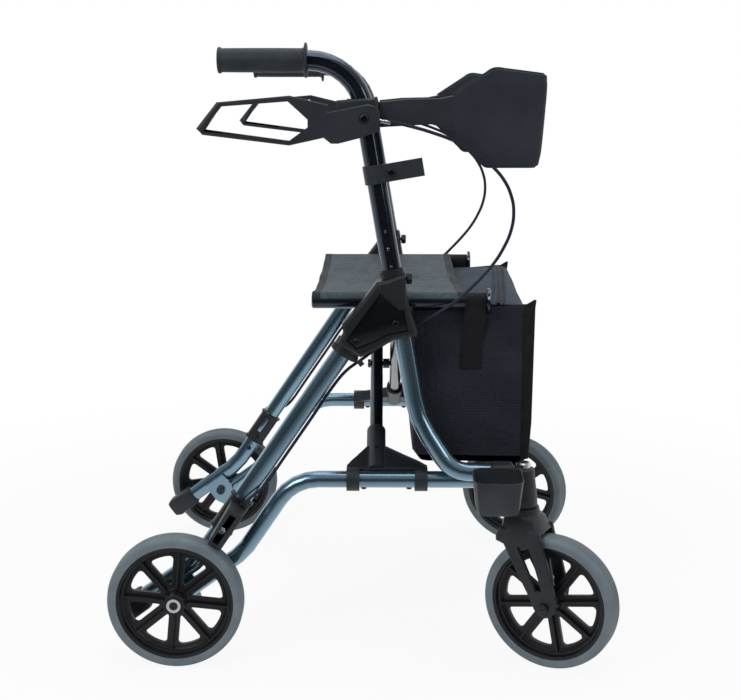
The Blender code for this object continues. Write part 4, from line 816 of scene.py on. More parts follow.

# %% [markdown]
# ## Brake cables
# The cable leaves the bracket in a metal ferrule, swings forward in a free loop, and
# runs behind the hub and down the rear leg to the shoe. Its route is a list of given
# points, and a curve with automatic handles passes smoothly through them. When the
# handle slides in its hub, the loop takes up the change; the cable is attached to no body.

# %% Cable
CABLE_RADIUS = 0.0024
RAIL_Z = 0.271
CABLE_ROUTE = [(-0.0055, 0.522, 0.2560), (0.0135, 0.520, 0.2575), (0.045, 0.513, 0.2590),
               (0.072, 0.505, 0.2600), (0.097, 0.496, 0.2600), (0.118, 0.486, 0.2600),
               (0.137, 0.473, 0.2595), (0.156, 0.457, 0.2580), (0.171, 0.439, 0.2565),
               (0.181, 0.418, 0.2550), (0.185, 0.396, 0.2535), (0.182, 0.369, 0.2515),
               (0.171, 0.342, 0.2500), (0.158, 0.321, 0.2490), (0.144, 0.304, 0.2480),
               (0.129, 0.288, 0.2465), (0.108, 0.268, 0.2430), (0.080, 0.248, 0.2375),
               (0.055, 0.233, 0.2325), (0.015, 0.208, 0.2290), (-0.008, 0.194, 0.2295),
               (-0.0285, 0.1795, 0.2335), (-0.0530, 0.1625, 0.2400), (-0.0735, 0.1380, 0.2440),
               (-0.0983, 0.1010, 0.2460), (-0.1290, 0.0560, 0.2475), (-0.1539, 0.0193, 0.2480),
               (-0.1651, 0.0027, 0.2500), (-0.1759, -0.0105, 0.2540), (-0.1875, -0.0195, 0.2605),
               (-0.1960, -0.0252, 0.2640), (-0.2017, -0.0309, 0.2652)]


def cord(points, radius, name, sides=12, fine=5):
    """A round cord on a smooth curve through the points, as a mesh."""
    curve = bpy.data.curves.new(name, "CURVE")
    curve.dimensions = "3D"
    curve.bevel_depth = radius
    curve.bevel_resolution = (sides - 4) // 2
    curve.resolution_u = fine
    curve.use_fill_caps = True
    spline = curve.splines.new("BEZIER")
    spline.bezier_points.add(len(points) - 1)
    for knot, place in zip(spline.bezier_points, points):
        knot.co = place
        knot.handle_left_type = "AUTO"
        knot.handle_right_type = "AUTO"
    obj = bpy.data.objects.new(name, curve)
    bpy.context.scene.collection.objects.link(obj)
    pick(obj)
    bpy.ops.object.convert(target="MESH")
    return smooth(tidy(bpy.context.object), 50)


for side, sign in SIDES.items():
    route = [at(x, sign * y, RAIL_Z + up) for x, up, y in CABLE_ROUTE]
    cable = cord(route, CABLE_RADIUS, f"cable_sleeve_{side}")
    dress(cable, sleeve_vinyl, None)
    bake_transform(cable)
    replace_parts(cable, f"brake_cable_{side}")

# %% [markdown]
# ## The sling seat
# The seat is one sheet of coated nylon, wrapped round both rails and stitched. It
# sags a little between them, its rear and front edges carry a folded tape, and soft
# creases run across it where it has been sat on. A grid is bent to that shape row by
# row: a wrap round each rail, a shallow hang between, and the creases added on top.

# %% Sling's line and creases
SEAT_RAIL_Y, SEAT_RAIL_Z = 0.22088, 0.53384
SEAT_RAIL_RADIUS = 0.011
SLING_REAR, SLING_FRONT = -0.101, 0.120
SLING_SAG = 0.012
SLING_THICK = 0.0018
CLOTH_GAP = 0.0004
WRAP = radians(66)
WRAP_STEPS = 12
HANG_STEPS = 30
ACROSS_STEPS = 44
# Each crease: its height, its run along the seat, its run across, and where it starts.
CREASES = [(0.0014, 5.5 * pi, 14.0, 0.0), (0.0010, 11 * pi, -23.0, 1.0),
           (0.0009, 2.3 * pi, 16 * pi, 0.0)]
FINE_CREASE = 0.0007
FINE_ALONG, FINE_ASIDE, FINE_SWAY = 19, 9, 31
CREASE_REACH, CREASE_FADE = 0.97, 0.7


def sling_line():
    """The sheet's line from one rail to the other: (y, z above the rail's axis)."""
    inner = SEAT_RAIL_RADIUS + CLOTH_GAP
    half = []
    for i in range(WRAP_STEPS):
        turn = pi / 2 + WRAP * (1 - i / WRAP_STEPS)
        half.append((-SEAT_RAIL_Y + inner * cos(turn), inner * sin(turn)))
    for i in range(HANG_STEPS + 1):
        y = -SEAT_RAIL_Y * (1 - i / HANG_STEPS)
        half.append((y, inner - SLING_SAG * (1 - (y / SEAT_RAIL_Y) ** 2)))
    return half + [(-y, z) for y, z in reversed(half[:-1])]


def crease(x_share, y):
    """How far the soft creases lift the sheet at a place."""
    away = max(0.0, 1 - (y / (SEAT_RAIL_Y * CREASE_REACH)) ** 2) ** CREASE_FADE
    wave = FINE_CREASE * sin(pi * (FINE_ALONG * x_share + FINE_ASIDE * y) + 2 * sin(FINE_SWAY * y))
    for height, along, aside, first in CREASES:
        wave += height * sin(along * x_share + aside * y + first)
    return wave * away


def sheet_of(name, rows):
    """A sheet of quads over rows of points."""
    bpy.ops.mesh.primitive_grid_add(x_subdivisions=len(rows[0]) - 1, y_subdivisions=len(rows) - 1,
                                    size=1, location=(0, 0, 0))
    obj = bpy.context.object
    flat = [point for row in rows for point in row]
    for vertex, point in zip(obj.data.vertices, flat):
        vertex.co = point
    return settle(obj, name)


line = sling_line()

# %% Sling


def sling_strip(name, x_from, x_to, steps):
    """The sheet from one place along the walker to another, creases and all."""
    rows = []
    for i in range(steps + 1):
        x = x_from + (x_to - x_from) * i / steps
        share = (x - SLING_REAR) / (SLING_FRONT - SLING_REAR)
        row = []
        for j, (y, z) in enumerate(line):
            wrapped = min(j, len(line) - 1 - j) < WRAP_STEPS
            lift = 0.0 if wrapped else crease(share, y)
            row.append(at(x, y, SEAT_RAIL_Z + z + lift))
        rows.append(row)
    return sheet_of(name, rows)


sling = sling_strip("seat_cloth", SLING_REAR, SLING_FRONT, ACROSS_STEPS)
print("sling cut", round(SLING_FRONT - SLING_REAR, 3), "m wide")

# %% [markdown]
# The edges of the sling are folded over a cord and covered with tape. Each is a narrow
# strip that follows the same rows, a little proud of the sheet on both faces.

# %% Sling edges
HEM_WIDTH = 0.011
HEM_PROUD = 0.0015
HEM_THICK = 0.0030
HEM_ROUND = 0.0008
HEM_STEPS = 4

front_hem = sling_strip("sling_hem_front", SLING_FRONT - HEM_WIDTH, SLING_FRONT + HEM_PROUD, HEM_STEPS)
rear_hem = sling_strip("sling_hem_rear", SLING_REAR - HEM_PROUD, SLING_REAR + HEM_WIDTH, HEM_STEPS)
modify(tidy(sling), "SOLIDIFY", thickness=SLING_THICK, offset=1.0)
dress(smooth(sling, 60), seat_nylon, None)
for cloth in (front_hem, rear_hem):
    modify(tidy(cloth), "SOLIDIFY", thickness=HEM_THICK, offset=0.45)
    ease(cloth, HEM_ROUND, degrees=30)
    dress(smooth(cloth, 60), seat_tape, None)
for cloth in (sling, front_hem, rear_hem):
    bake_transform(cloth)
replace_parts(sling, "seat_sling")
print("sling hemmed")

# %% [markdown]
# ## The bag
# The bag hangs from the rails in front of the braces: two stiff side panels, a soft
# front and back that bulge between them, and a rounded lid with a zip along its
# front. It is a loft of closed sections, from the bottom up, whose corners are round
# and whose walls swell between the corners. It is not five plates.

# %% Bag's section
BAG_HALF = 0.213
BAG_REAR, BAG_FRONT = 0.042, 0.2235
BAG_BOTTOM, BAG_TOP = 0.2885, 0.523
BAG_ROUND = 0.016
BAG_BULGE = 0.006
BULGE_DEPTH = 0.4
WALL_STEPS, CORNER_STEPS = 10, 4


def arc_corner(before, corner, after, radius, steps):
    """The points of a rounded corner between two straight runs, in plan."""
    back, ahead = (before - corner).normalized(), (after - corner).normalized()
    turn = pi - back.angle(ahead)
    reach = radius * tan(turn / 2)
    middle = corner + (back + ahead).normalized() * (radius / cos(turn / 2))
    first = corner + back * reach - middle
    way = 1 if back.cross(ahead).z > 0 else -1
    return [middle + Matrix.Rotation(-way * turn * i / steps, 3, "Z") @ first for i in range(steps + 1)]


def section(z, low, high, half, bulge):
    """A closed section of the bag at a height, with bulged front and back walls."""
    corners = [Vector((x, y, 0)) for x, y in ((high, half), (low, half), (low, -half), (high, -half))]
    arcs = [arc_corner(corners[k - 1], corners[k], corners[(k + 1) % 4], BAG_ROUND, CORNER_STEPS)
            for k in range(4)]
    points = []
    for arc, following in zip(arcs, arcs[1:] + arcs[:1]):
        points += arc + [arc[-1].lerp(following[0], i / WALL_STEPS) for i in range(1, WALL_STEPS)]
    middle, deep = (low + high) / 2, BULGE_DEPTH * (high - low)
    swollen = []
    for x, y, flat in points:
        push = bulge * max(0.0, 1 - (y / half) ** 2) * min(1.0, abs(x - middle) / deep)
        swollen.append(at(x + push if x > middle else x - push, y, flat + z))
    return swollen


print("bag", round(2 * BAG_HALF, 3), "m wide and", round(BAG_TOP - BAG_BOTTOM, 4), "m high")

# %% Bag shell
# The foot is tucked in all round, the walls taper a little downwards, the sides are drawn
# in at half height, and above the shoulder the front leans back.
TUCK_SIDE, TUCK_REAR, TUCK_FRONT = 0.003, 0.010, 0.006
TUCK_SHARE = 0.06
SIDE_TAPER, WALL_TAPER = 0.001, 0.004
SIDE_DRAWN = 0.004
SHOULDER = 0.84
LEAN_BACK, LEAN_CURVE = 0.018, 1.4
BULGE_RISE = 1.1
LEVELS = 16


def skin(name, rings):
    """A closed skin over rings of points, capped at both ends."""
    bm = bmesh.new()
    rows = [[bm.verts.new(point) for point in ring] for ring in rings]
    count = len(rows[0])
    for low, high in zip(rows, rows[1:]):
        for i in range(count):
            bm.faces.new((low[i], low[(i + 1) % count], high[(i + 1) % count], high[i]))
    bm.faces.new(rows[0][::-1])
    bm.faces.new(rows[-1])
    bmesh.ops.recalc_face_normals(bm, faces=bm.faces)
    mesh = bpy.data.meshes.new(name)
    bm.to_mesh(mesh)
    bm.free()
    obj = bpy.data.objects.new(name, mesh)
    bpy.context.scene.collection.objects.link(obj)
    return obj


rings = []
for i in range(LEVELS + 1):
    up = i / LEVELS
    z = BAG_BOTTOM + (BAG_TOP - BAG_BOTTOM) * up
    foot = max(0.0, 1 - up / TUCK_SHARE)
    half = BAG_HALF - TUCK_SIDE * foot - SIDE_TAPER * (1 - up) - SIDE_DRAWN * sin(pi * up)
    low = BAG_REAR + TUCK_REAR * foot ** 2 + WALL_TAPER * (1 - up)
    high = BAG_FRONT - TUCK_FRONT * foot ** 2 - WALL_TAPER * (1 - up)
    high -= LEAN_BACK * max(0.0, (up - SHOULDER) / (1 - SHOULDER)) ** LEAN_CURVE
    rings.append(section(z, low, high, half, BAG_BULGE * sin(pi * min(1.0, up * BULGE_RISE))))
shell = skin("bag_shell", rings)
print("bag shell of", len(rings), "sections")

# %% Bag lid
# The lid lies flat under the seat, swells a little in front of it and rolls over to the
# front. Its cloth is pulled askew, so each line on it runs further forward to the left.
LID_HALF = 0.204
LID_LINE = [(0.060, 0.5235, 0.0), (0.100, 0.5240, 0.0), (0.135, 0.5265, 0.02),
            (0.160, 0.5310, 0.06), (0.178, 0.5350, 0.08), (0.190, 0.5365, 0.08),
            (0.201, 0.5355, 0.065), (0.2075, 0.5335, 0.055), (0.2115, 0.5300, 0.048),
            (0.2150, 0.5235, 0.040), (0.2195, 0.5120, 0.022), (0.2252, 0.4930, 0.004)]
LID_FLAT = BAG_TOP + 0.0035
LID_THICK = 0.0022
LID_SWELL = 0.0012
WAVE_ASIDE, WAVE_ALONG = 9, 60
LID_DRAWN = 0.003
LID_STEPS = 26


def lid_place(x, z, slant, share):
    """A place on the lid: a point of its section, at a share of its half width."""
    fall = 1 - abs(share) ** 4
    y = LID_HALF * share
    low = min(z, LID_FLAT)
    swell = LID_SWELL * sin(WAVE_ASIDE * share + WAVE_ALONG * x) * fall
    return at(x + slant * y - LID_DRAWN * (1 - fall), y, low + (z - low) * fall + swell)


lid_rows = [[lid_place(x, z, slant, 2 * i / LID_STEPS - 1) for x, z, slant in LID_LINE]
            for i in range(LID_STEPS + 1)]
lid = tidy(sheet_of("bag_lid", lid_rows))
modify(lid, "SOLIDIFY", thickness=LID_THICK, offset=-1.0)
smooth(modify(lid, "SUBSURF", levels=1, render_levels=1), 60)
print("lid", len(lid.data.polygons), "faces")

# %% [markdown]
# ## Side panels and bindings
# Each end of the bag is a stiffened panel that stands a little proud of the bag's
# top, with a folded hem along it. A dark binding closes the front edge and ends in a
# small upturned ear.

# %% Side panel
PANEL_OUT = 0.2150
PANEL_THICK = 0.0022
PANEL_ROUND, PANEL_EDGE = 0.009, 0.0008
HEM_SINK, HEM_DEEP, HEM_EDGE = 0.0003, 0.0010, 0.0004
BIND_SINK, BIND_DEEP, BIND_EDGE = 0.0030, 0.0042, 0.0012
PANEL_LINE = [(0.0600, 0.2920), (0.0520, 0.3000), (0.0480, 0.3200), (0.0470, 0.5190),
              (0.1580, 0.5235), (0.2095, 0.5280), (0.2170, 0.2960), (0.2105, 0.2900)]
HEM_LINE = [(0.0478, 0.5020), (0.0470, 0.5198), (0.1580, 0.5243), (0.2095, 0.5288),
            (0.2093, 0.5110), (0.1580, 0.5070)]
BIND_LINE = [(0.2070, 0.2905), (0.2190, 0.2940), (0.2225, 0.3500), (0.2240, 0.5230),
             (0.2255, 0.5345), (0.2225, 0.5350), (0.2125, 0.5290), (0.2070, 0.5270)]


def upright(points, inside, thick):
    """A flat outline of (x, z) points standing on edge at a distance from the middle."""
    obj = slab(points, 0, thick)
    obj.data.transform(Matrix.Rotation(pi / 2, 4, "X"))
    obj.data.transform(Matrix.Translation(at(0, -inside, 0)))
    return obj


panel = upright(PANEL_LINE, PANEL_OUT - PANEL_THICK, PANEL_THICK)
choose(panel, "EDGE", lambda middle, way: abs(way.y) > 0.9)
bpy.ops.mesh.bevel(offset=PANEL_ROUND, segments=5, affect="EDGES")
leave()
ease(panel, PANEL_EDGE)
panel_hem = ease(upright(HEM_LINE, PANEL_OUT - HEM_SINK, HEM_DEEP), HEM_EDGE)
binding = ease(upright(BIND_LINE, PANEL_OUT - BIND_SINK, BIND_DEEP), BIND_EDGE, 3)
print("panel, hem and binding")

# %% [markdown]
# ## Straps
# A webbing strap goes over each rail and is sewn down the side panel. It is one ribbon:
# round the rail, then down and slowly inwards to the panel.

# %% Strap
STRAP_REAR, STRAP_FRONT = 0.1205, 0.1515
STRAP_THICK = 0.0016
STRAP_END = 0.4320
STRAP_LEAN = -0.006
STRAP_INSIDE = 0.020
STRAP_OFF = 0.0013
FALL_QUICK, FALL_CURVE = 1.6, 0.7
LOOP_RADIUS = SEAT_RAIL_RADIUS + 0.0003 + STRAP_THICK / 2
LOOP_STEPS, FALL_STEPS, WIDE_STEPS = 16, 10, 4

strap_line = [(0.0, -SEAT_RAIL_Y + LOOP_RADIUS, SEAT_RAIL_Z - STRAP_INSIDE)]
for i in range(LOOP_STEPS + 1):
    turn = pi * i / LOOP_STEPS
    y, z = -SEAT_RAIL_Y + LOOP_RADIUS * cos(turn), SEAT_RAIL_Z + LOOP_RADIUS * sin(turn)
    strap_line.append((0.0, y, z))
fall_from, fall_to = -SEAT_RAIL_Y - LOOP_RADIUS, -PANEL_OUT - STRAP_OFF
for i in range(1, FALL_STEPS + 1):
    share = i / FALL_STEPS
    y = fall_from + (fall_to - fall_from) * min(1.0, share * FALL_QUICK) ** FALL_CURVE
    strap_line.append((STRAP_LEAN * share, y, SEAT_RAIL_Z + (STRAP_END - SEAT_RAIL_Z) * share))
strap_rows = []
for i in range(WIDE_STEPS + 1):
    x = STRAP_REAR + (STRAP_FRONT - STRAP_REAR) * i / WIDE_STEPS
    strap_rows.append([at(x + lean, y, z) for lean, y, z in strap_line])
strap = modify(tidy(sheet_of("bag_strap", strap_rows)), "SOLIDIFY", thickness=STRAP_THICK, offset=0.0)
smooth(ease(strap, 0.0005), 50)
print("strap", len(strap_line), "points long")

# %% Zip
# The closed zip is a fine dark ridge along the lid's front roll, between two seams.
ZIP_RADIUS, SEAM_RADIUS = 0.0024, 0.0014
ZIP_PLACE = (0.190, 0.5370, 0.08)
BEHIND, AHEAD = Vector((-0.0095, 0, -0.0012)), Vector((0.0075, 0, -0.0006))
zip_line = [lid_place(*ZIP_PLACE, 2 * i / LID_STEPS - 1) for i in range(LID_STEPS + 1)]
zip_tape = cord(zip_line, ZIP_RADIUS, "zip_tape", 10, 3)
lid_seam = cord([place + BEHIND for place in zip_line], SEAM_RADIUS, "lid_seam", 8, 3)
front_seam = cord([place + AHEAD for place in zip_line], SEAM_RADIUS, "front_seam", 8, 3)
print("zip of", round(2 * LID_HALF, 3), "m")

# %% Ride and fold with the bag
bag_pieces = [(shell, bag_polyester), (lid, lid_polyester), (zip_tape, webbing),
              (lid_seam, bag_polyester), (front_seam, bag_polyester)]
for name, model, look in (("panel", panel, bag_polyester), ("hem", panel_hem, bag_polyester),
                          ("binding", binding, webbing), ("strap", strap, webbing)):
    bag_pieces += [(twin, look) for twin in pair(model, f"bag_{name}").values()]
for piece, look in bag_pieces:
    dress(piece, look, "bag")
    smooth(piece, 45)
    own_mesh(piece)
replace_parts(shell, "bag")
print("bag of", len(bag_pieces), "pieces")

# %% [markdown]
# ## The back belt
# The belt is a strip of foam with a knitted cover and a bound edge, held by an arm at
# each end. It is a padded piece: thick in the middle of its height and thin at its
# bound edges. It follows the same line as the solid that it stands for, in finer steps.

# %% Belt
BELT_Y = 0.247
BELT_START = 0.0965
CORNER_X, CORNER_Y = 0.2180, 0.2425
MIDDLE_X = 0.2440
BELT_BOW = 1.35
CORNER_ROUND = 0.012
BELT_HALF_THICK = 0.0075
BELT_PEAK, BELT_TOP, BELT_BOTTOM = 0.8655, 0.8570, 0.7290
ARM_TOP, ARM_BOTTOM = 0.828, 0.775
TOP_RAMP, LOW_RAMP = 0.058, 0.048
BELT_LEAN = 0.0045
SIDE_STEPS, ROUND_STEPS, FRONT_STEPS = 14, 8, 18
SIDE_SHARE, FRONT_SHARE = 0.90, 0.93


def front_line(share):
    """The belt's front, bowed forward, at a share of the way out to its corner."""
    bow = (MIDDLE_X - CORNER_X) * share ** BELT_BOW
    return Vector((MIDDLE_X - bow, -CORNER_Y * share, 0))


start, corner = Vector((BELT_START, -BELT_Y, 0)), front_line(1.0)
plan = [start.lerp(corner, i / SIDE_STEPS * SIDE_SHARE) for i in range(SIDE_STEPS + 1)]
plan += arc_corner(start, corner, front_line(0.9), CORNER_ROUND, ROUND_STEPS)
plan += [front_line(FRONT_SHARE * (1 - i / FRONT_STEPS)) for i in range(FRONT_STEPS + 1)]
plan += [Vector((p.x, -p.y, 0)) for p in reversed(plan[:-1])]
print("belt's line has", len(plan), "points")

# %% Belt skin
BELT_SECTION = 28
THIN_END, THICKER = 0.55, 0.45
HEIGHT_PUSH, DEPTH_PUSH = 0.5, 0.36
SEAM_IN, SEAM_HALF, SEAM_DEEP = 0.07, 0.02, 0.35


def pushed(value, power):
    """A value between -1 and 1 pushed outwards, with its sign kept."""
    return copysign(abs(value) ** power, value)


run, lengths = 0.0, [0.0]
for before, after in zip(plan, plan[1:]):
    run += (after - before).length
    lengths.append(run)
side_run = (corner - start).length
belt_rings = []
edge_lines = {1: [], -1: []}
for i, point in enumerate(plan):
    ahead = (plan[min(i + 1, len(plan) - 1)] - plan[max(i - 1, 0)]).normalized()
    outward = Vector((ahead.y, -ahead.x, 0))
    near = min(lengths[i], run - lengths[i])
    share = min(1.0, near / TOP_RAMP)
    fall = min(1.0, max(0.0, (near - TOP_RAMP) / (side_run - TOP_RAMP)))
    top = ARM_TOP + (BELT_PEAK - ARM_TOP) * share + (BELT_TOP - BELT_PEAK) * fall
    low = ARM_BOTTOM + (BELT_BOTTOM - ARM_BOTTOM) * min(1.0, near / LOW_RAMP)
    thick = BELT_HALF_THICK * (THIN_END + THICKER * share)
    lean = Vector((BELT_LEAN * fall, 0, 0))
    ring = []
    for k in range(BELT_SECTION):
        turn = 2 * pi * k / BELT_SECTION
        up = 0.5 - 0.5 * pushed(cos(turn), HEIGHT_PUSH)
        from_seam = abs(min(up, 1 - up) - SEAM_IN)
        out = thick * pushed(sin(turn), DEPTH_PUSH) * (1 - SEAM_DEEP * max(0.0, 1 - from_seam / SEAM_HALF))
        ring.append(at(point.x, point.y, low + (top - low) * up) + outward * out + lean * (2 * up - 1))
    belt_rings.append(ring)
    for sign, height in ((1, top), (-1, low)):
        edge_lines[sign].append(at(point.x, point.y, height) + lean * sign)
belt = modify(skin("belt_pad", belt_rings), "SUBSURF", levels=1, render_levels=1)
dress(smooth(belt, 60), belt_knit, "post_right")
print("belt", round(run, 3), "m long")

# %% Belt binding
BINDING_RADIUS = 0.0016
bindings = []
for sign, name in ((1, "belt_binding_top"), (-1, "belt_binding_bottom")):
    edge = cord(edge_lines[sign], BINDING_RADIUS, name, 10, 2)
    bindings.append(dress(edge, belt_knit, "post_right"))
for piece in (belt, *bindings):
    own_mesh(piece)
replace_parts(belt, "backrest_belt")
print("belt bound")

# %% [markdown]
# ## Screws and small metal
# The moulded pieces are held by button-head screws with a hexagon socket. One screw is
# modelled: a cylinder whose upper edge is rounded and whose top is pierced by a
# six-sided tool. It is then copied to each place.

# %% Screw
# The rounding and the socket are shares of the head's height and radius.
HEAD_ROUND = 0.75
SOCKET_RADIUS, SOCKET_UP = 0.5, 0.85


def button_screw(radius, height):
    """A button-head screw with a hexagon socket, standing on z = 0."""
    bpy.ops.mesh.primitive_cylinder_add(vertices=28, radius=radius, depth=height,
                                        location=(0, 0, height / 2))
    head = settle(bpy.context.object, "screw")
    choose(head, "FACE", lambda middle, normal: normal.z > 0.9)
    bpy.ops.mesh.bevel(offset=height * HEAD_ROUND, segments=4, affect="EDGES")
    leave()
    bpy.ops.mesh.primitive_cylinder_add(vertices=6, radius=radius * SOCKET_RADIUS, depth=height,
                                        location=(0, 0, height * SOCKET_UP))
    tool = settle(bpy.context.object, "hexagon")
    return smooth(cut(head, tool), 35)


def screw_at(place, way, radius, height):
    """A screw at a spot on the walker's right side, its head facing this way."""
    head = button_screw(radius, height)
    head.data.transform(facing(at(*place), Vector(way)))
    return head


print("screw ready")

# %% Screws in their places
# Screws hold the hub's two halves, the lever's pivot, the lower rail's clips, the rear
# sleeve and, on the right side only, the stick's clip. Pins show in the post's row of
# height holes. The rear axle is a sleeve with a bolt at each end, so a dark hexagon shows
# in its ring. Each line gives a name, a place, the way out, a radius, a height, a body.
OUT, IN, DOWN = (0, -1, 0), (0, 1, 0), (0, 0, -1)
HUB_FLOOR = -0.2658
HUB_FACE, POST_FACE, SLEEVE_FACE = HUB_FLOOR + 0.0004, -0.25905, -0.2335
FRAME_Y = -0.247
RAIL_UNDER = (FRAME_Y, 0.2592)
AXLE_SINK = 0.0004
low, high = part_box("rear_axle_right")
axle_x, axle_z = (low.x + high.x) / 2 - HOME.x, (low.z + high.z) / 2
axle_out, axle_in = low.y - HOME.y + AXLE_SINK, high.y - HOME.y - AXLE_SINK
SCREWS = [("hub_screw_0", (-0.0370, HUB_FACE, 0.4820), OUT, 0.0052, 0.0030, "frame"),
          ("hub_screw_1", (0.0190, HUB_FACE, 0.5085), OUT, 0.0052, 0.0030, "frame"),
          ("lever_screw", (-0.026, -0.2690, 0.796), OUT, 0.0066, 0.0034, "lever"),
          ("rail_screw_0", (-0.027, *RAIL_UNDER), DOWN, 0.0045, 0.0032, "frame"),
          ("rail_screw_1", (0.040, *RAIL_UNDER), DOWN, 0.0045, 0.0032, "frame"),
          ("post_hole_0", (0.0037, POST_FACE, 0.639), OUT, 0.0020, 0.0008, "post"),
          ("post_hole_1", (0.0080, POST_FACE, 0.614), OUT, 0.0020, 0.0008, "post"),
          ("post_hole_2", (0.0123, POST_FACE, 0.589), OUT, 0.0020, 0.0008, "post"),
          ("sleeve_screw", (-0.2356, SLEEVE_FACE, 0.2000), IN, 0.0052, 0.0024, "frame"),
          ("carrier_screw", (-0.2494, -0.2365, 0.1797), IN, 0.0040, 0.0024, "frame"),
          ("axle_bolt_outer", (axle_x, axle_out, axle_z), OUT, 0.0064, 0.0016, "frame"),
          ("axle_bolt_inner", (axle_x, axle_in, axle_z), IN, 0.0078, 0.0016, "frame")]
CLIP_SCREW = ((0.0117, -0.2664, 0.7225), OUT, 0.0056, 0.0026)
for name, place, way, radius, height, body in SCREWS:
    look = bright_zinc if body == "post" else black_zinc
    dress_pair(screw_at(place, way, radius, height), name, look, body)
clip_screw = settle(screw_at(*CLIP_SCREW), "clip_screw")
dress(clip_screw, black_zinc, "post_right")
print(2 * len(SCREWS) + 1, "screws placed")

# %% Caster bolts
# A bolt closes each end of a caster's axle, so it lies along the turned axle.
FRONT_AXLE_HALF = 0.0358
BOLT_RADIUS, BOLT_HEIGHT = 0.0058, 0.0018
bolt = button_screw(BOLT_RADIUS, BOLT_HEIGHT)
for side in SIDES:
    for number, way in enumerate((-CASTER_AXLE, CASTER_AXLE)):
        spot = centre(f"front_tyre_{side}") + way * FRONT_AXLE_HALF
        piece = copied(bolt, f"caster_bolt_{number}_{side}", facing(spot, way))
        dress(piece, black_zinc, f"caster_{side}")
bpy.data.objects.remove(bolt)
print("caster bolts placed")

# %% Shoe nut
# A nut runs on the shoe's stud inside its slot.
NUT_RADIUS, NUT_HEIGHT = 0.0056, 0.0060
NUT_WALL, NUT_HOLLOW, NUT_EDGE = 0.0024, 0.0012, 0.0004
NUT_FACE = -0.2768
NUT_TURN = Matrix.Rotation(radians(12), 4, "Z")
LEG_DOWN, LEG_AHEAD = Vector((-0.5621, 0, -0.8271)), Vector((0.8271, 0, -0.5621))
LEG_FOOT = Vector((-0.2330, 0, 0.2050))
STUD_DOWN = 0.0026
stud = LEG_FOOT + LEG_DOWN * STUD_DOWN
bpy.ops.mesh.primitive_cylinder_add(vertices=6, radius=NUT_RADIUS, depth=NUT_HEIGHT,
                                    location=(0, 0, NUT_HEIGHT / 2))
nut = settle(bpy.context.object, "nut")
choose(nut, "FACE", lambda middle, normal: normal.z > 0.9)
bpy.ops.mesh.inset(thickness=NUT_WALL)
bpy.ops.transform.translate(value=(0, 0, -NUT_HOLLOW))
leave()
ease(nut, NUT_EDGE, degrees=30)
nut.data.transform(facing(at(stud.x, NUT_FACE, stud.z), Vector(OUT)) @ NUT_TURN)
dress_pair(smooth(nut, 30), "shoe_nut", bright_zinc, "frame")
print("shoe nuts placed")

# %% Lever bar and cable clip
# The lever's parking bar is a thick rounded rod across the end of the thin blade, and a
# short clip below the hub holds the cable.
BAR = [(-0.2251, -0.268, 0.8165), (-0.2400, -0.268, 0.7982), (-0.2548, -0.268, 0.7799)]
CABLE_CLIP = [(-0.0345, -0.2500, 0.4520), (-0.0318, -0.2505, 0.4480), (-0.0290, -0.2510, 0.4440)]
BAR_RADIUS, BAR_EDGE, CLIP_RADIUS = 0.0046, 0.0015, 0.0040
bar = ease(cord([at(*place) for place in BAR], BAR_RADIUS, "lever_bar", 14, 4), BAR_EDGE, 3)
dress_pair(smooth(bar, 40), "lever_bar", lever_nylon, "lever")
clip = cord([at(*place) for place in CABLE_CLIP], CLIP_RADIUS, "cable_clip", 12, 4)
dress_pair(clip, "cable_clip", hub_nylon, "frame")
print("lever bars and cable clips placed")

# %% Brace foot rims
# Each foot of the brace is stiffened by a rim along the two slanted edges of its wing, on
# both faces. Inside the rim lies a smoother nylon whose darker colour is painted shade,
# so that the rim reads as raised, and a small screw holds the tube in its socket.
RIM_BEAD, RIM_OUT = 0.0017, 0.0078
RIM_FOOT, RIM_FROM, RIM_RISE = (0.0125, 0.0180), 0.0210, 0.0420
PAINTED_SHADE_HALF = 0.0083
PAINTED_SHADE_LOW, PAINTED_SHADE_SHOULDER = 0.0185, 0.0205
FOOT_SCREW_RADIUS, FOOT_SCREW_HEIGHT = 0.0030, 0.0012
FOOT_SCREW_UP, FOOT_SCREW_OUT = 0.0545, 0.0139
# For each edge: the rim's foot, its top from the tube's middle, the painted shade's foot,
# the painted shade's wall from the tube's middle, and the painted shade's top.
EDGES = [("rear", -0.0510, -0.0121, -0.0470, -0.0138, 0.0560),
         ("front", 0.0655, 0.0125, 0.0610, 0.0138, 0.0535)]
FOOT_BODIES = {"right": ("brace_a", -0.009), "left": ("brace_b", 0.022)}
BRACE_WAY, BRACE_SQUARE = Vector((0, 0.8961, 0.4438)), Vector((0, -0.4438, 0.8961))
FOOT_TURN = Matrix((Vector((1, 0, 0)), BRACE_WAY, BRACE_SQUARE)).transposed().to_4x4()
FOOT_FRAME = Matrix.Translation(at(0, FRAME_Y, RAIL_Z)) @ FOOT_TURN


def bead_points(foot_x, top_x, out):
    """The rim's line on the right foot: up beside the clip, then along the slanted edge."""
    bead = [(foot_x, up) for up in RIM_FOOT]
    bead += [(foot_x + (top_x - foot_x) * t, RIM_FROM + RIM_RISE * t) for t in (0.1, 0.5, 1.0)]
    return [FOOT_FRAME @ Vector((x, up, out)) for x, up in bead]


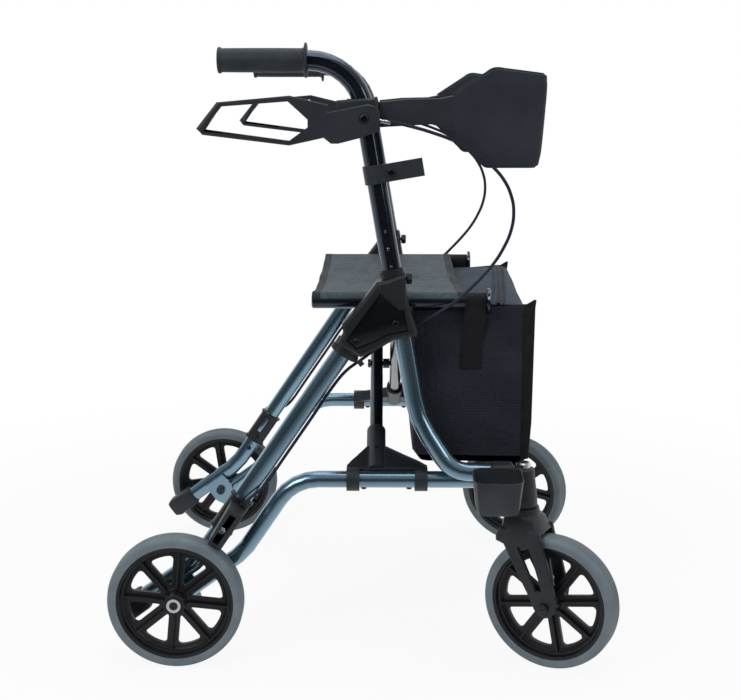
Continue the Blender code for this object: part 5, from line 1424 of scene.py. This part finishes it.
for side, (body, middle) in FOOT_BODIES.items():
    pieces = []
    for edge, foot_x, top_x, shade_foot_x, wall_x, top in EDGES:
        for face, out in (("upper", RIM_OUT), ("lower", -RIM_OUT)):
            bead = cord(bead_points(foot_x, middle + top_x, out), RIM_BEAD, "bead", 10, 4)
            pieces.append((bead, f"foot_rim_{edge}_{face}", lever_nylon, "black_plastic"))
        # The darker slab between the rims is painted shade.
        wall = middle + wall_x
        corners = [(shade_foot_x, PAINTED_SHADE_LOW), (shade_foot_x, PAINTED_SHADE_SHOULDER), (wall, top), (wall, PAINTED_SHADE_LOW)]
        painted_shade = slab(corners, -PAINTED_SHADE_HALF, PAINTED_SHADE_HALF)
        painted_shade.data.transform(FOOT_FRAME)
        pieces.append((painted_shade, f"foot_field_{edge}", hub_nylon, "black_plastic"))
    spot = FOOT_FRAME @ Vector((middle, FOOT_SCREW_UP, FOOT_SCREW_OUT))
    head = button_screw(FOOT_SCREW_RADIUS, FOOT_SCREW_HEIGHT)
    head.data.transform(facing(spot, BRACE_SQUARE))
    pieces.append((head, "foot_screw", black_zinc, "steel"))
    for piece, name, look, slot in pieces:
        dress(copied(piece, f"{name}_{side}", across(side)), look, body)
        bpy.data.objects.remove(piece)
print("feet rimmed")

# %% Rear sleeve's collars and slot
# The sleeve has a collar at each end, and a slot in its inner face shows the painted leg.
COLLAR = [(-0.0018, 0.80), (-0.0018, 0.97), (-0.0012, 1.0), (0.0012, 1.0), (0.0018, 0.97),
          (0.0018, 0.80), (-0.0018, 0.80)]
COLLAR_HALF_X, COLLAR_HALF_Y = 0.0192, 0.0143
COLLARS = [("upper", -0.0442), ("lower", 0.0122)]
SLOT_CORNERS = [(-0.0375, -0.0052), (-0.0375, 0.0012), (-0.0080, 0.0012), (-0.0080, -0.0052)]
SLOT_INSIDE, SLOT_THICK, SLOT_EDGE = 0.2332, 0.0012, 0.0004
oval = Matrix((LEG_AHEAD * COLLAR_HALF_X, Vector((0, -COLLAR_HALF_Y, 0)), LEG_DOWN)).transposed()
collar = turned(COLLAR, 48)
collar.data.transform(oval.to_4x4())
smooth(collar, 40)
for name, down in COLLARS:
    middle = LEG_FOOT + LEG_DOWN * down
    piece = copied(collar, "collar", Matrix.Translation(at(middle.x, FRAME_Y, middle.z)))
    dress_pair(piece, f"sleeve_collar_{name}", hub_nylon, "frame")
bpy.data.objects.remove(collar)
corners = [LEG_FOOT + LEG_DOWN * down + LEG_AHEAD * ahead for down, ahead in SLOT_CORNERS]
glimpse = ease(upright([(p.x, p.z) for p in corners], SLOT_INSIDE, SLOT_THICK), SLOT_EDGE)
dress_pair(smooth(glimpse, 40), "sleeve_window", lacquer, "frame")
print("sleeves finished")

# %% Hub panels
# The recess in the hub is polished in the mould, so it mirrors the dark room.
HUB_PANEL = [(-0.0040, 0.5505), (0.0240, 0.5270), (0.0308, 0.5270), (0.0366, 0.4980),
             (0.0060, 0.4913), (-0.0120, 0.4818), (-0.0372, 0.4715), (-0.0514, 0.4846)]
HUB_PANEL_SINK, HUB_PANEL_THICK, HUB_PANEL_EDGE = 0.0002, 0.0009, 0.0004
hub_panel = upright(HUB_PANEL, -HUB_FLOOR - HUB_PANEL_SINK, HUB_PANEL_THICK)
ease(hub_panel, HUB_PANEL_EDGE, degrees=30)
dress_pair(smooth(hub_panel, 30), "hub_panel", panel_nylon, "frame")
print("hub panels laid in")

# %% Cable ferrules
FERRULE = [(0.0, 0.0), (0.0, 0.0031), (0.0035, 0.0033), (0.0040, 0.0029), (0.0075, 0.0029),
           (0.0080, 0.0033), (0.0150, 0.0033), (0.0165, 0.0027), (0.0165, 0.0)]
from_place, to_place = [at(x, -y, RAIL_Z + up) for x, up, y in (CABLE_ROUTE[0], CABLE_ROUTE[2])]
ferrule = smooth(turned(FERRULE, 24), 35)
ferrule.data.transform(facing(from_place, to_place - from_place))
dress_pair(ferrule, "cable_ferrule", bright_zinc, "post")
print("ferrules placed")

# %% [markdown]
# ## Studio
# The floor and the backdrop are pale and plain. The camera sees them white, and so do
# reflections, through Light Path. The floor mixes a lit surface with white light, so
# the walker's soft shadow stays, and further out it is white light alone, so that no
# horizon shows. Behind the camera the room is dark, as in a real studio, and that is
# what draws dark bands on the tubes between the lamps' bright ones.

# %% Floor
FLOOR_SIZE, FLOOR_DROP = 30, 0.0005
FADE_FROM, FADE_TO = 0.5, 1.6
LEAST_WHITE = 0.91
DEPTH_FROM, DEPTH_TO = -3.6, -0.2
DEPTHS = [(0.0, 0.02), (0.35, 0.06), (0.55, 0.18), (0.75, 0.28), (0.88, 0.65), (1.0, 1.0)]
bpy.ops.mesh.primitive_plane_add(size=FLOOR_SIZE, location=(0, 0, -FLOOR_DROP))
floor = bpy.context.object
floor.name = "floor"
paper = bpy.data.materials.new("white_paper")
paper.use_nodes = True
tree = paper.node_tree
tree.nodes.clear()
seen = add(tree, "LightPath")
lit = add(tree, "BsdfDiffuse", {"Color": tone("f4f4f4")})
ground = add(tree, "TexCoord").outputs["Object"]
away = add(tree, "VectorMath", {0: ground}, operation="LENGTH")
fade = eased(tree, away.outputs["Value"], FADE_FROM, FADE_TO, LEAST_WHITE, 1.0)
back = add(tree, "SeparateXYZ", {"Vector": ground})
toward = add(tree, "MapRange", {"Value": back.outputs["Y"], "From Min": DEPTH_FROM,
                                "From Max": DEPTH_TO})
depth = add(tree, "ValToRGB", {"Fac": toward.outputs["Result"]})
stops = depth.color_ramp.elements
stops.remove(stops[1])
stops[0].color = (DEPTHS[0][1],) * 3 + (1,)
for place, strength in DEPTHS[1:]:
    stops.new(place).color = (strength,) * 3 + (1,)
level = add(tree, "Mix", {0: seen.outputs["Is Glossy Ray"], 2: 1.0, 3: depth.outputs["Color"]})
glow = add(tree, "Emission", {"Color": (1, 1, 1, 1), "Strength": level.outputs[0]})
shown = reckon(tree, "MULTIPLY", seen.outputs["Is Camera Ray"], fade)
share = reckon(tree, "MAXIMUM", shown, seen.outputs["Is Glossy Ray"])
mixed = add(tree, "MixShader", {0: share, 1: lit.outputs["BSDF"], 2: glow.outputs["Emission"]})
add(tree, "OutputMaterial", {"Surface": mixed.outputs["Shader"]})
floor.data.materials.append(paper)
floor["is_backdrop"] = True

# %% World
world = bpy.data.worlds.new("studio")
bpy.context.scene.world = world
world.use_nodes = True
tree = world.node_tree
tree.nodes.clear()
ROOM, WALL, CEILING, AMBIENT = 0.03, 1.0, 0.45, 0.30
WALL_EDGE, CEILING_EDGE = (-0.10, 0.35), (0.10, 0.80)
seen = add(tree, "LightPath")
way = add(tree, "SeparateXYZ", {"Vector": add(tree, "TexCoord").outputs["Generated"]})
wall = eased(tree, way.outputs["Y"], *WALL_EDGE, ROOM, WALL)
ceiling = eased(tree, way.outputs["Z"], *CEILING_EDGE, 0.0, CEILING)
pale = reckon(tree, "MAXIMUM", wall, ceiling)
mirror = add(tree, "Mix", {0: seen.outputs["Is Glossy Ray"], 2: AMBIENT, 3: pale})
level = add(tree, "Mix", {0: seen.outputs["Is Camera Ray"], 2: mirror.outputs[0], 3: 1.0})
sky = add(tree, "Background", {"Color": (1, 1, 1, 1), "Strength": level.outputs[0]})
add(tree, "OutputWorld", {"Surface": sky.outputs["Background"]})
print("stage set")

# %% Lamps
LAMPS = [("key", (-1.6, -2.2, 2.2), 1.3, 30), ("fill", (2.3, -1.7, 1.6), 1.2, 14),
         ("top", (0.1, 0.1, 2.9), 2.0, 27)]
AIM = Vector((0.0, 0.0, 0.45))
for name, place, size, watts in LAMPS:
    bpy.ops.object.light_add(type="AREA", location=place)
    lamp = bpy.context.object
    lamp.name = name
    lamp.data.size = size
    lamp.data.energy = watts
    lamp.rotation_euler = (AIM - Vector(place)).to_track_quat("-Z", "Y").to_euler()
bpy.context.scene.view_settings.view_transform = "Standard"
print(len(LAMPS), "lamps")

# %% [markdown]
# ## Measure and finish
# The box of the dressed walker is printed.

# %% Sizes and the end
low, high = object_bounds()
print("visual", [round(v, 4) for v in low], [round(v, 4) for v in high])
